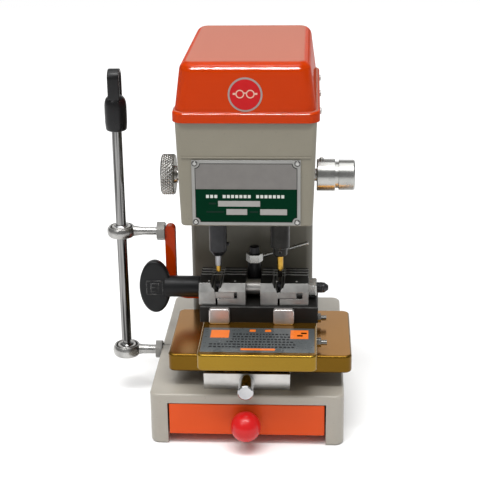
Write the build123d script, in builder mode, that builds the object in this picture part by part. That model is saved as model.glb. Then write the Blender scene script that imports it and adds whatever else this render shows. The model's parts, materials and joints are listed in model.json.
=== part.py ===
"""Vertical key duplicating machine: a cast frame with a belt-driven cutter and a tracer,
a two-axis table moved by a joystick lever, and two screw-clamped key vises.

Millimetres, +Z up, the front faces -Y. The origin is the centre of the bottom plate, on the floor.
"""
from build123d import *
import os
from math import pi

os.makedirs("parts", exist_ok=True)

# ---- driving dimensions -------------------------------------------------
BASE_W, BASE_D, BASE_H = 184.0, 245.0, 52.0
BASE_TOP_WALL = 9.3
BASE_SIDE_WALL = 17.0
FRONT = -BASE_D / 2
BOTTOM_T = 2.0

COLUMN_W = 123.0
COLUMN_FRONT = FRONT + 130.0
COLUMN_REAR = FRONT + 243.0
COLUMN_WALL = 7.0

HEAD_BOTTOM, HEAD_TOP = 205.7, 304.7
HEAD_FRONT = FRONT + 41.0
HEAD_BOTTOM_W, HEAD_TOP_W = 122.6, 129.4
HEAD_WALL = 7.0
HEAD_FLOOR = 12.0

COVER_TOP = 359.5
COVER_SHEET = 1.6
RIM_H = 9.8
RIM_W = 134.5
COVER_X = -0.6
DECK_T = 3.0

SPINDLE_X, SPINDLE_Y = 30.0, FRONT + 81.0
NOSE_BOTTOM = 163.0
QUILL_D = 18.6
NOSE_D = 14.0
TRACER_QUILL_D = 17.0
TOOL_D = 6.0
RUNNING = 0.05

FEED_Y, FEED_Z = FRONT + 99.0, 238.8
PINION_R = 8.0
PINION_TEETH = 16
TOOTH_PITCH = 2 * pi * PINION_R / PINION_TEETH

X_PLATE = (-75.0, 99.0, FRONT + 16.0, FRONT + 127.0, 68.2, 86.0)
Y_PLATE = (-44.0, 66.0, FRONT - 20.0, FRONT + 110.0, 86.3, 102.6)
CARRIAGE_X = 11.0
BAR_X = (-47.0, 67.0)
BAR_Y = (FRONT + 55.0, FRONT + 116.5)
BAR_TOP = 119.0
VISE_Y = (FRONT + 59.0, FRONT + 105.0)
VISE_TOP = 140.3
VISE_AXIS_Y, VISE_AXIS_Z = FRONT + 82.0, 129.0
LEFT_VISE = (-48.0, -32.0, -30.0, -3.0)
RIGHT_VISE = (11.4, 28.0, 30.0, 57.6)

LEVER_X, LEVER_Y = -129.0, FRONT + 111.5
LOWER_BALL_Z, UPPER_BALL_Z = 47.0, 176.0
LEVER_ROD_D = 10.0
RING_D, RING_T = 32.0, 11.0
BALL_R = 8.5
RACE_R = 10.6


def between(low, high):
    """Middle of two coordinates."""
    return (low + high) / 2


def publish(part, label):
    """Label a finished piece and write its STEP file."""
    part.label = label
    export_step(part, f"parts/{label}.step")


# ---- cast base ----------------------------------------------------------
DRAWER_OPENING_W = BASE_W - 2 * BASE_SIDE_WALL
LEDGE_W, LEDGE_TOP, LEDGE_T = 7.0, 9.8, 4.0
REAR_WALL = 10.0
SHANK_D = 10.0
PLATE_L = 170.0
PLATE_MID_Y = BASE_D / 2 - REAR_WALL - PLATE_L / 2

with BuildPart() as base_casting:
    with BuildSketch(Plane.XY):
        RectangleRounded(BASE_W, BASE_D, 9)
    extrude(amount=BASE_H)
    fillet(base_casting.faces().filter_by(Axis.Z).edges(), 2.5)
    with BuildSketch(Plane.XY):
        with Locations((0, -REAR_WALL)):
            Rectangle(DRAWER_OPENING_W, BASE_D)
    extrude(amount=BASE_H - BASE_TOP_WALL, mode=Mode.SUBTRACT)
    with BuildSketch(Plane.XY.offset(LEDGE_TOP - LEDGE_T)):
        for side in (-1, 1):
            with Locations((side * (DRAWER_OPENING_W / 2 - LEDGE_W / 2), -REAR_WALL / 2 + 10)):
                Rectangle(LEDGE_W, BASE_D - REAR_WALL - 40)
    extrude(amount=LEDGE_T)
    with BuildSketch(Plane.YZ.offset(-BASE_W / 2)):
        with Locations((LEVER_Y, LOWER_BALL_Z)):
            Circle(SHANK_D / 2)
    extrude(amount=14, mode=Mode.SUBTRACT)
publish(base_casting.part, "base_casting")

with BuildPart() as bottom_plate:
    with BuildSketch(Plane.XY):
        with Locations((0, PLATE_MID_Y)):
            Rectangle(DRAWER_OPENING_W, PLATE_L)
    extrude(amount=BOTTOM_T)
publish(bottom_plate.part, "bottom_plate")

# ---- column and head castings -------------------------------------------
COLUMN_Y = between(COLUMN_FRONT, COLUMN_REAR)
COLUMN_D = COLUMN_REAR - COLUMN_FRONT
FOOT_FLANGE_T = 3.5

with BuildPart() as column:
    with BuildSketch(Plane.XY.offset(BASE_H)):
        with Locations((0, COLUMN_Y)):
            RectangleRounded(COLUMN_W + 7, COLUMN_D + 3, 9)
    extrude(amount=FOOT_FLANGE_T)
    fillet(column.faces().sort_by(Axis.Z)[-1].edges(), 2)
    with BuildSketch(Plane.XY.offset(BASE_H)):
        with Locations((0, COLUMN_Y)):
            RectangleRounded(COLUMN_W, COLUMN_D, 7)
    extrude(amount=HEAD_BOTTOM - BASE_H)
    with BuildSketch(Plane.XY.offset(BASE_H)):
        with Locations((0, COLUMN_Y + COLUMN_WALL)):
            Rectangle(COLUMN_W - 2 * COLUMN_WALL, COLUMN_D)
    extrude(amount=HEAD_BOTTOM - BASE_H, mode=Mode.SUBTRACT)
publish(column.part, "column")

FEED_SHAFT_D = 12.0

with BuildPart() as head_casting:
    head_y = between(HEAD_FRONT, COLUMN_REAR)
    head_depth = COLUMN_REAR - HEAD_FRONT
    with BuildSketch(Plane.XY.offset(HEAD_BOTTOM)):
        with Locations((0, head_y)):
            RectangleRounded(HEAD_BOTTOM_W, head_depth, 5)
    with BuildSketch(Plane.XY.offset(HEAD_TOP)):
        with Locations((0, head_y)):
            RectangleRounded(HEAD_TOP_W, head_depth, 5)
    loft()
    fillet(head_casting.faces().sort_by(Axis.Z)[0].edges(), 2.5)
    with BuildSketch(Plane.XY.offset(HEAD_BOTTOM + HEAD_FLOOR)):
        with Locations((0, head_y)):
            Rectangle(HEAD_BOTTOM_W - 2 * HEAD_WALL, head_depth - 2 * HEAD_WALL)
    extrude(amount=HEAD_TOP, mode=Mode.SUBTRACT)
    with BuildSketch(Plane.XY.offset(HEAD_BOTTOM - 1)):
        with Locations((0, COLUMN_Y + 1)):
            Rectangle(COLUMN_W - 2 * COLUMN_WALL - 4, COLUMN_D - 20)
        with Locations((SPINDLE_X, SPINDLE_Y)):
            Circle(QUILL_D / 2 + RUNNING)
        with Locations((-SPINDLE_X, SPINDLE_Y)):
            Circle(TRACER_QUILL_D / 2 + RUNNING)
    extrude(amount=HEAD_FLOOR + 3, mode=Mode.SUBTRACT)
    with BuildSketch(Plane.YZ.offset(-HEAD_TOP_W)):
        with Locations((FEED_Y, FEED_Z)):
            Circle(FEED_SHAFT_D / 2 + RUNNING)
    extrude(amount=2 * HEAD_TOP_W, mode=Mode.SUBTRACT)
publish(head_casting.part, "head_casting")

# ---- top cover, belt deck and rear cover ----------------------------------
RIM_Y = (HEAD_FRONT - 2.5, COLUMN_REAR + 2.0)
RIM_MID_Y = between(*RIM_Y)
RIM_D = RIM_Y[1] - RIM_Y[0]
SHOULDER_W, SHOULDER_D = RIM_W - 3.0, RIM_D - 4.0
COVER_TOP_W, COVER_TOP_D = 117.0, RIM_D - 7.0
COVER_CORNER, COVER_EDGE = 13.0, 9.5

with BuildPart() as cover_hollow:
    with BuildSketch(Plane.XY.offset(HEAD_TOP - 1)):
        with Locations((COVER_X, RIM_MID_Y)):
            RectangleRounded(
                SHOULDER_W - 2 * COVER_SHEET, SHOULDER_D - 2 * COVER_SHEET, COVER_CORNER - COVER_SHEET
            )
    with BuildSketch(Plane.XY.offset(COVER_TOP - COVER_SHEET)):
        with Locations((COVER_X, RIM_MID_Y)):
            RectangleRounded(
                COVER_TOP_W - 2 * COVER_SHEET, COVER_TOP_D - 2 * COVER_SHEET, COVER_CORNER - COVER_SHEET
            )
    loft()
    fillet(cover_hollow.faces().sort_by(Axis.Z)[-1].edges(), COVER_EDGE - COVER_SHEET)

with BuildPart() as cover_skin:
    with BuildSketch(Plane.XY.offset(HEAD_TOP)):
        with Locations((COVER_X, RIM_MID_Y)):
            RectangleRounded(SHOULDER_W, SHOULDER_D, COVER_CORNER)
    with BuildSketch(Plane.XY.offset(COVER_TOP)):
        with Locations((COVER_X, RIM_MID_Y)):
            RectangleRounded(COVER_TOP_W, COVER_TOP_D, COVER_CORNER)
    loft()
    fillet(cover_skin.faces().sort_by(Axis.Z)[-1].edges(), COVER_EDGE)

with BuildPart() as top_cover:
    with BuildSketch(Plane.XY.offset(HEAD_TOP)):
        with Locations((0, RIM_MID_Y)):
            RectangleRounded(RIM_W, RIM_D, 12)
    extrude(amount=RIM_H)
    fillet(top_cover.faces().sort_by(Axis.Z)[-1].edges(), 2.4)
    add(cover_skin.part)
    add(cover_hollow.part, mode=Mode.SUBTRACT)
publish(top_cover.part, "top_cover")

MOTOR_X, MOTOR_Y, MOTOR_R = 16.0, 58.0, 36.0
MOTOR_Z = (205.0, 303.0)
MOTOR_SHAFT_D = 8.0
BELT_Z = (322.0, 328.0)
PULLEY_R = 15.0
MOTOR_PULLEY_R = 12.0
PULLEY_FLANGE = 2.5
SPINDLE_D = 10.0

with BuildPart() as belt_deck:
    with BuildSketch(Plane.XY.offset(HEAD_TOP)):
        with Locations((0, between(HEAD_FRONT, COLUMN_REAR))):
            RectangleRounded(HEAD_TOP_W - 12, COLUMN_REAR - HEAD_FRONT - 10, 12)
        with Locations((SPINDLE_X, SPINDLE_Y)):
            Circle(SPINDLE_D / 2 + 1, mode=Mode.SUBTRACT)
        with Locations((MOTOR_X, MOTOR_Y)):
            Circle(MOTOR_SHAFT_D / 2 + 2, mode=Mode.SUBTRACT)
    extrude(amount=DECK_T)
    with BuildSketch(Plane.XY.offset(HEAD_TOP + DECK_T)):
        with Locations((SPINDLE_X, SPINDLE_Y)):
            Circle(10)
            Circle(SPINDLE_D / 2 + 1, mode=Mode.SUBTRACT)
    extrude(amount=BELT_Z[0] - PULLEY_FLANGE - 0.5 - HEAD_TOP - DECK_T)
publish(belt_deck.part, "belt_deck")

SCREW_X = RIM_W / 2
COVER_SCREW_Y = (HEAD_FRONT + 30, between(HEAD_FRONT, COLUMN_REAR), COLUMN_REAR - 30)

with BuildPart() as cover_screws:
    for side in (-1, 1):
        with BuildSketch(Plane.YZ.offset(side * SCREW_X)):
            with Locations(*[(y, HEAD_TOP + 4) for y in COVER_SCREW_Y]):
                Circle(3)
        extrude(amount=side * 1.6)
    fillet(cover_screws.faces().sort_by(Axis.X)[-3:].edges(), 0.7)
    fillet(cover_screws.faces().sort_by(Axis.X)[:3].edges(), 0.7)
publish(cover_screws.part, "cover_screws")

PLATE_T = 1.5
NAMEPLATE_W, NAMEPLATE_Z = 100.0, (207.5, 270.0)

with BuildPart() as nameplate:
    with BuildSketch(Plane.XZ.offset(-HEAD_FRONT)):
        with Locations((0, between(*NAMEPLATE_Z))):
            Rectangle(NAMEPLATE_W, NAMEPLATE_Z[1] - NAMEPLATE_Z[0])
    extrude(amount=PLATE_T)
publish(nameplate.part, "nameplate")

with BuildPart() as nameplate_rivets:
    with BuildSketch(Plane.XZ.offset(-HEAD_FRONT + PLATE_T)):
        with Locations((0, between(*NAMEPLATE_Z))):
            with GridLocations(NAMEPLATE_W - 6, NAMEPLATE_Z[1] - NAMEPLATE_Z[0] - 6, 2, 2):
                Circle(1.9)
    extrude(amount=1.0)
    fillet(nameplate_rivets.faces().sort_by(Axis.Y)[:4].edges(), 0.6)
publish(nameplate_rivets.part, "nameplate_rivets")

REAR_COVER_T = 2.0
SWITCH_X, SWITCH_Z = -22.0, 110.0
INLET_X = 22.0
ROCKER_HOLE = (21.0, 15.0)
INLET_HOLE = (27.0, 20.0)

with BuildPart() as rear_cover:
    with BuildSketch(Plane.XZ.offset(-COLUMN_REAR)):
        with Locations((0, between(BASE_H + FOOT_FLANGE_T + 1, HEAD_BOTTOM - 1))):
            RectangleRounded(COLUMN_W - 6, HEAD_BOTTOM - BASE_H - FOOT_FLANGE_T - 2, 5)
        with Locations((SWITCH_X, SWITCH_Z)):
            Rectangle(*ROCKER_HOLE, mode=Mode.SUBTRACT)
        with Locations((INLET_X, SWITCH_Z)):
            Rectangle(*INLET_HOLE, mode=Mode.SUBTRACT)
    extrude(amount=-REAR_COVER_T)
publish(rear_cover.part, "rear_cover")

ROCKER_Y = COLUMN_REAR - 3.0
with BuildPart() as power_rocker:
    with BuildSketch(Plane.YZ.offset(SWITCH_X - ROCKER_HOLE[0] / 2 + 0.5)):
        with BuildLine():
            Polyline(
                (ROCKER_Y - 3, SWITCH_Z - 6.0),
                (COLUMN_REAR + REAR_COVER_T + 3.0, SWITCH_Z - 6.6),
                (COLUMN_REAR + REAR_COVER_T + 1.4, SWITCH_Z),
                (COLUMN_REAR + REAR_COVER_T + 3.0, SWITCH_Z + 6.6),
                (ROCKER_Y - 3, SWITCH_Z + 6.0),
                close=True,
            )
        make_face()
    extrude(amount=ROCKER_HOLE[0] - 1.0)
    with BuildSketch(Plane.YZ.offset(SWITCH_X - ROCKER_HOLE[0] / 2 - 1.5)):
        with Locations((ROCKER_Y, SWITCH_Z)):
            Circle(1.5)
    extrude(amount=ROCKER_HOLE[0] + 3)
publish(power_rocker.part, "power_rocker")

with BuildPart() as power_inlet:
    with BuildSketch(Plane.XZ.offset(-COLUMN_REAR - REAR_COVER_T)):
        with Locations((INLET_X, SWITCH_Z)):
            RectangleRounded(31, 24, 3)
    extrude(amount=-2.5)
    with BuildSketch(Plane.XZ.offset(-COLUMN_REAR - REAR_COVER_T)):
        with Locations((INLET_X, SWITCH_Z)):
            Rectangle(INLET_HOLE[0] - 0.4, INLET_HOLE[1] - 0.4)
    extrude(amount=20)
    with BuildSketch(Plane.XZ.offset(-COLUMN_REAR - REAR_COVER_T - 2.5)):
        with Locations((INLET_X, SWITCH_Z)):
            Rectangle(21, 14)
    extrude(amount=16, mode=Mode.SUBTRACT)
    with BuildSketch(Plane.XZ.offset(-COLUMN_REAR - REAR_COVER_T + 14)):
        with Locations(*[(INLET_X + x, SWITCH_Z + z) for x, z in ((-6, -1.5), (0, 2.5), (6, -1.5))]):
            Rectangle(1.8, 4)
    extrude(amount=-13)
publish(power_inlet.part, "power_inlet")

# ---- motor, belt and pulleys ----------------------------------------------
with BuildPart() as motor:
    with BuildSketch(Plane.XY.offset(MOTOR_Z[0])):
        with Locations((MOTOR_X, MOTOR_Y)):
            Circle(MOTOR_R)
    extrude(amount=MOTOR_Z[1] - MOTOR_Z[0])
    fillet(motor.edges(), 4)
    with BuildSketch(Plane.XY.offset(MOTOR_Z[1])):
        with Locations((MOTOR_X, MOTOR_Y)):
            Circle(12)
    extrude(amount=HEAD_TOP - MOTOR_Z[1])
    with BuildSketch(Plane.XY.offset(MOTOR_Z[1] - 20)):
        with Locations((MOTOR_X, MOTOR_Y)):
            Circle(MOTOR_SHAFT_D / 2 + RUNNING)
    extrude(amount=30, mode=Mode.SUBTRACT)
publish(motor.part, "motor")

FLANGE_LOW, FLANGE_HIGH = BELT_Z[0] - PULLEY_FLANGE, BELT_Z[1] + PULLEY_FLANGE

with BuildPart() as motor_shaft:
    with BuildSketch(Plane.XY.offset(MOTOR_Z[1] - 18)):
        with Locations((MOTOR_X, MOTOR_Y)):
            Circle(MOTOR_SHAFT_D / 2)
    extrude(amount=FLANGE_HIGH + 4 - MOTOR_Z[1] + 18)
    for low, high, radius in (
        (FLANGE_LOW, BELT_Z[0], MOTOR_PULLEY_R + PULLEY_FLANGE),
        (BELT_Z[0], BELT_Z[1], MOTOR_PULLEY_R),
        (BELT_Z[1], FLANGE_HIGH, MOTOR_PULLEY_R + PULLEY_FLANGE),
    ):
        with BuildSketch(Plane.XY.offset(low)):
            with Locations((MOTOR_X, MOTOR_Y)):
                Circle(radius)
        extrude(amount=high - low)
publish(motor_shaft.part, "motor_shaft")

with BuildPart() as spindle_pulley:
    for low, high, radius in (
        (FLANGE_LOW, BELT_Z[0], PULLEY_R + PULLEY_FLANGE),
        (BELT_Z[0], BELT_Z[1], PULLEY_R),
        (BELT_Z[1], FLANGE_HIGH, PULLEY_R + PULLEY_FLANGE),
    ):
        with BuildSketch(Plane.XY.offset(low)):
            with Locations((SPINDLE_X, SPINDLE_Y)):
                Circle(radius)
        extrude(amount=high - low)
    with BuildSketch(Plane.XY.offset(BELT_Z[0] - 10)):
        with Locations((SPINDLE_X, SPINDLE_Y)):
            Circle(SPINDLE_D / 2 + RUNNING)
    extrude(amount=BELT_Z[1] - BELT_Z[0] + 20, mode=Mode.SUBTRACT)
publish(spindle_pulley.part, "spindle_pulley")

BELT_GAP, BELT_T = 0.3, 2.0
with BuildPart() as drive_belt:
    with BuildSketch(Plane.XY.offset(BELT_Z[0] + 0.5)):
        for grow, mode in ((BELT_GAP + BELT_T, Mode.ADD), (BELT_GAP, Mode.SUBTRACT)):
            with BuildSketch(mode=mode) as loop:
                with Locations((SPINDLE_X, SPINDLE_Y)):
                    Circle(PULLEY_R + grow)
                with Locations((MOTOR_X, MOTOR_Y)):
                    Circle(MOTOR_PULLEY_R + grow)
                make_hull()
    extrude(amount=BELT_Z[1] - BELT_Z[0] - 1)
publish(drive_belt.part, "drive_belt")

# ---- spindle, tracer and feed ----------------------------------------------
FEED_CLEARANCE = 7.0
BRIDGE_Z = (268.0, 280.0)
SLEEVE_BOTTOM = 172.0
CHUCK_TOP = 186.0
CUTTER_Z = (VISE_TOP + 0.4, 178.0)
TRACER_Z = (145.0, 180.0)

with BuildPart() as spindle_quill:
    with BuildSketch(Plane.XY.offset(SLEEVE_BOTTOM)):
        with Locations((SPINDLE_X, SPINDLE_Y)):
            Circle(QUILL_D / 2)
    extrude(amount=BRIDGE_Z[1] - SLEEVE_BOTTOM)
    with BuildSketch(Plane.XY.offset(SLEEVE_BOTTOM)):
        with Locations((SPINDLE_X, SPINDLE_Y)):
            Circle(NOSE_D / 2 + RUNNING)
    extrude(amount=BRIDGE_Z[1] - SLEEVE_BOTTOM, mode=Mode.SUBTRACT)
publish(spindle_quill.part, "spindle_quill")

with BuildPart() as spindle_bearings:
    for low in (CHUCK_TOP + 14, BRIDGE_Z[1] - 12):
        with BuildSketch(Plane.XY.offset(low)):
            with Locations((SPINDLE_X, SPINDLE_Y)):
                Circle(NOSE_D / 2)
                Circle(SPINDLE_D / 2 + RUNNING, mode=Mode.SUBTRACT)
        extrude(amount=5)
publish(spindle_bearings.part, "spindle_bearings")

with BuildPart() as spindle_shaft:
    with BuildSketch(Plane.XY.offset(NOSE_BOTTOM)):
        with Locations((SPINDLE_X, SPINDLE_Y)):
            Circle(NOSE_D / 2)
    extrude(amount=CHUCK_TOP - NOSE_BOTTOM)
    chamfer(spindle_shaft.faces().sort_by(Axis.Z)[0].edges(), 1)
    with BuildSketch(Plane.XY.offset(CHUCK_TOP)):
        with Locations((SPINDLE_X, SPINDLE_Y)):
            Circle(SPINDLE_D / 2)
    extrude(amount=FLANGE_HIGH + FEED_CLEARANCE - CHUCK_TOP)
    with BuildSketch(Plane.XY.offset(NOSE_BOTTOM)):
        with Locations((SPINDLE_X, SPINDLE_Y)):
            Circle(TOOL_D / 2)
    extrude(amount=CUTTER_Z[1] - NOSE_BOTTOM, mode=Mode.SUBTRACT)
    with BuildSketch(Plane.XZ.offset(-SPINDLE_Y + TOOL_D / 2 - 1)):
        with Locations((SPINDLE_X, NOSE_BOTTOM + 5)):
            Circle(1.5)
    extrude(amount=NOSE_D, mode=Mode.SUBTRACT)
publish(spindle_shaft.part, "spindle_shaft")

with BuildPart() as cutter_set_screw:
    with BuildSketch(Plane.XZ.offset(-SPINDLE_Y + TOOL_D / 2 + 0.1)):
        with Locations((SPINDLE_X, NOSE_BOTTOM + 5)):
            Circle(1.5)
            RegularPolygon(0.9, 6, mode=Mode.SUBTRACT)
    extrude(amount=3.4)
publish(cutter_set_screw.part, "cutter_set_screw")

CUTTER_TIP_D = 4.2
CUTTER_FLUTES = 4
with BuildPart() as cutter:
    with BuildSketch(Plane.XY.offset(CUTTER_Z[0] + 8)):
        with Locations((SPINDLE_X, SPINDLE_Y)):
            Circle(TOOL_D / 2)
    extrude(amount=CUTTER_Z[1] - CUTTER_Z[0] - 8)
    with BuildSketch(Plane.XY.offset(CUTTER_Z[0])):
        with Locations((SPINDLE_X, SPINDLE_Y)):
            Circle(CUTTER_TIP_D / 2)
            with PolarLocations(CUTTER_TIP_D / 2, CUTTER_FLUTES):
                Circle(0.7, mode=Mode.SUBTRACT)
    extrude(amount=8)
publish(cutter.part, "cutter")

with BuildPart() as tracer_quill:
    with BuildSketch(Plane.XY.offset(NOSE_BOTTOM)):
        with Locations((-SPINDLE_X, SPINDLE_Y)):
            Circle(TRACER_QUILL_D / 2)
    extrude(amount=BRIDGE_Z[1] - NOSE_BOTTOM)
    chamfer(tracer_quill.faces().sort_by(Axis.Z)[0].edges(), 5, 3.4)
    with BuildSketch(Plane.XY.offset(NOSE_BOTTOM)):
        with Locations((-SPINDLE_X, SPINDLE_Y)):
            Circle(TOOL_D / 2)
    extrude(amount=TRACER_Z[1] - NOSE_BOTTOM, mode=Mode.SUBTRACT)
    with BuildSketch(Plane.YZ.offset(-SPINDLE_X + TOOL_D / 2 - 1)):
        with Locations((SPINDLE_Y, NOSE_BOTTOM + 11)):
            Circle(1.8)
    extrude(amount=TRACER_QUILL_D, mode=Mode.SUBTRACT)
publish(tracer_quill.part, "tracer_quill")

with BuildPart() as tracer_set_screw:
    with BuildSketch(Plane.YZ.offset(-SPINDLE_X + TOOL_D / 2 + 0.1)):
        with Locations((SPINDLE_Y, NOSE_BOTTOM + 11)):
            Circle(1.8)
            RegularPolygon(1.0, 6, mode=Mode.SUBTRACT)
    extrude(amount=7.5)
publish(tracer_set_screw.part, "tracer_set_screw")

with BuildPart() as tracer:
    with BuildSketch(Plane.XY.offset(TRACER_Z[0] + 7)):
        with Locations((-SPINDLE_X, SPINDLE_Y)):
            Circle(TOOL_D / 2)
    extrude(amount=TRACER_Z[1] - TRACER_Z[0] - 7)
    with BuildSketch(Plane.XY.offset(TRACER_Z[0])):
        with Locations((-SPINDLE_X, SPINDLE_Y)):
            Circle(2.4)
    extrude(amount=8)
    chamfer(tracer.faces().sort_by(Axis.Z)[0].edges(), 1.2)
publish(tracer.part, "tracer")

RACK_X = (6.0, 18.0)
RACK_LOW = FEED_Z - 16.5
PITCH_LINE_Y = FEED_Y - PINION_R
TOOTH_TIP, TOOTH_ROOT = 0.8, 1.2
RACK_T = 5.0

with BuildPart() as quill_bridge:
    with BuildSketch(Plane.XY.offset(BRIDGE_Z[0])):
        with Locations((0, SPINDLE_Y)):
            Rectangle(2 * SPINDLE_X + 30, 26)
        with Locations((SPINDLE_X, SPINDLE_Y)):
            Circle(QUILL_D / 2, mode=Mode.SUBTRACT)
        with Locations((-SPINDLE_X, SPINDLE_Y)):
            Circle(TRACER_QUILL_D / 2, mode=Mode.SUBTRACT)
    extrude(amount=BRIDGE_Z[1] - BRIDGE_Z[0])
    with BuildSketch(Plane.YZ.offset(RACK_X[0])):
        with BuildLine():
            Polyline(
                (PITCH_LINE_Y - TOOTH_ROOT - RACK_T, RACK_LOW),
                (PITCH_LINE_Y - TOOTH_ROOT, RACK_LOW),
                (PITCH_LINE_Y - TOOTH_ROOT, BRIDGE_Z[0]),
                (PITCH_LINE_Y - TOOTH_ROOT - RACK_T, BRIDGE_Z[0]),
                close=True,
            )
        make_face()
        for tooth in range(-5, 8):
            tooth_z = FEED_Z + (tooth + 0.5) * TOOTH_PITCH
            with BuildLine():
                Polyline(
                    (PITCH_LINE_Y - TOOTH_ROOT - 0.2, tooth_z - 0.9),
                    (PITCH_LINE_Y + TOOTH_TIP, tooth_z - 0.3),
                    (PITCH_LINE_Y + TOOTH_TIP, tooth_z + 0.3),
                    (PITCH_LINE_Y - TOOTH_ROOT - 0.2, tooth_z + 0.9),
                    close=True,
                )
            make_face()
    extrude(amount=RACK_X[1] - RACK_X[0])
publish(quill_bridge.part, "quill_bridge")

HUB_D, HUB_BORE_L = 31.0, 18.5
HUB_X = (HEAD_BOTTOM_W / 2 + 3.5, HEAD_BOTTOM_W / 2 + 21, HEAD_BOTTOM_W / 2 + 24.5, 101.2)

with BuildPart() as feed_shaft:
    with BuildSketch(Plane.YZ.offset(RACK_X[0])):
        with Locations((FEED_Y, FEED_Z)):
            Circle(PINION_R - TOOTH_ROOT)
        for tooth in range(PINION_TEETH):
            with Locations(Location((FEED_Y, FEED_Z), 360 * tooth / PINION_TEETH)):
                with Locations((PINION_R - 0.4, 0)):
                    Rectangle(2.0, 1.0)
    extrude(amount=RACK_X[1] - RACK_X[0])
    with BuildSketch(Plane.YZ.offset(-2)):
        with Locations((FEED_Y, FEED_Z)):
            Circle(FEED_SHAFT_D / 2)
    extrude(amount=HUB_X[0] + 20)
publish(feed_shaft.part, "feed_shaft")

with BuildPart() as feed_hub:
    for low, high, radius in (
        (HUB_X[0], HUB_X[1], HUB_D / 2),
        (HUB_X[1], HUB_X[2], HUB_D / 2 - 2.5),
        (HUB_X[2], HUB_X[3], HUB_D / 2 - 0.8),
    ):
        with BuildSketch(Plane.YZ.offset(low)):
            with Locations((FEED_Y, FEED_Z)):
                Circle(radius)
        extrude(amount=high - low)
    chamfer(feed_hub.faces().filter_by(Axis.X).sort_by(Axis.X)[-1].edges(), 1.2)
    chamfer(feed_hub.faces().filter_by(Axis.X).sort_by(Axis.X)[0].edges(), 0.8)
    with BuildSketch(Plane.YZ.offset(HUB_X[0])):
        with Locations((FEED_Y, FEED_Z)):
            Circle(FEED_SHAFT_D / 2)
    extrude(amount=HUB_BORE_L, mode=Mode.SUBTRACT)
    with BuildSketch(Plane.XY.offset(FEED_Z + 4)):
        with Locations((HUB_X[0] + 4.5, FEED_Y)):
            Circle(2)
    extrude(amount=HUB_D, mode=Mode.SUBTRACT)
publish(feed_hub.part, "feed_hub")

with BuildPart() as hub_screw:
    with BuildSketch(Plane.XY.offset(FEED_Z + FEED_SHAFT_D / 2 + 0.1)):
        with Locations((HUB_X[0] + 4.5, FEED_Y)):
            Circle(2)
    extrude(amount=HUB_D / 2 - FEED_SHAFT_D / 2 + 1.5)
    fillet(hub_screw.faces().sort_by(Axis.Z)[-1].edges(), 0.5)
publish(hub_screw.part, "hub_screw")

KNOB_D, KNOB_X = 39.5, (-84.3, -69.0)
with BuildPart() as tracer_knob:
    with BuildSketch(Plane.YZ.offset(KNOB_X[0])):
        with Locations((FEED_Y, FEED_Z)):
            Circle(KNOB_D / 2)
    extrude(amount=KNOB_X[1] - KNOB_X[0])
    chamfer(tracer_knob.faces().filter_by(Axis.X).edges(), 1.2)
    with BuildSketch(Plane.YZ.offset(KNOB_X[1])):
        with Locations((FEED_Y, FEED_Z)):
            Circle(8.5)
    extrude(amount=-HEAD_BOTTOM_W / 2 - 2.6 - KNOB_X[1])
    with BuildSketch(Plane.YZ.offset(KNOB_X[1])):
        with Locations((FEED_Y, FEED_Z)):
            Circle(FEED_SHAFT_D / 2)
    extrude(amount=30)
publish(tracer_knob.part, "tracer_knob")

# ---- saddle and slide plates -----------------------------------------------
SADDLE_W = 82.0
SADDLE_Y = (FRONT + 13.0, FRONT + 126.0)
SADDLE_TOP = 68.0
X_RAIL_Y = (FRONT + 40.0, FRONT + 100.0)
RAIL_H = 7.0
BLIND_END = 20.0
DOVETAIL = 4.0
SLIDE_GAP = 0.3
PIN_D, PIN_Z, PIN_TIP = 15.0, 60.0, FRONT - 12.0
PIN_STEM_D = 8.0

with BuildPart() as saddle:
    with BuildSketch(Plane.XY.offset(BASE_H)):
        with Locations((0, between(*SADDLE_Y))):
            Rectangle(SADDLE_W, SADDLE_Y[1] - SADDLE_Y[0])
    extrude(amount=SADDLE_TOP - BASE_H)
    with BuildSketch(Plane.YZ.offset(-SADDLE_W / 2)):
        with BuildLine():
            Polyline(
                (X_RAIL_Y[0], SADDLE_TOP),
                (X_RAIL_Y[1], SADDLE_TOP),
                (X_RAIL_Y[1] + DOVETAIL, SADDLE_TOP + RAIL_H),
                (X_RAIL_Y[0] - DOVETAIL, SADDLE_TOP + RAIL_H),
                close=True,
            )
        make_face()
    extrude(amount=SADDLE_W)
    with BuildSketch(Plane.XZ.offset(-SADDLE_Y[0])):
        with Locations((0, PIN_Z)):
            Circle(PIN_STEM_D / 2 + RUNNING)
    extrude(amount=-24, mode=Mode.SUBTRACT)
publish(saddle.part, "saddle")

with BuildPart() as lock_pin:
    with BuildSketch(Plane.XZ.offset(-PIN_TIP)):
        with Locations((0, PIN_Z)):
            Circle(PIN_D / 2)
    extrude(amount=-(SADDLE_Y[0] - PIN_TIP - 0.5))
    chamfer(lock_pin.faces().sort_by(Axis.Y)[0].edges(), 1.2)
    with BuildSketch(Plane.XZ.offset(-SADDLE_Y[0] + 0.5)):
        with Locations((0, PIN_Z)):
            Circle(PIN_STEM_D / 2)
    extrude(amount=-22)
publish(lock_pin.part, "lock_pin")

Y_RAIL_HALF_W = 26.0

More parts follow.
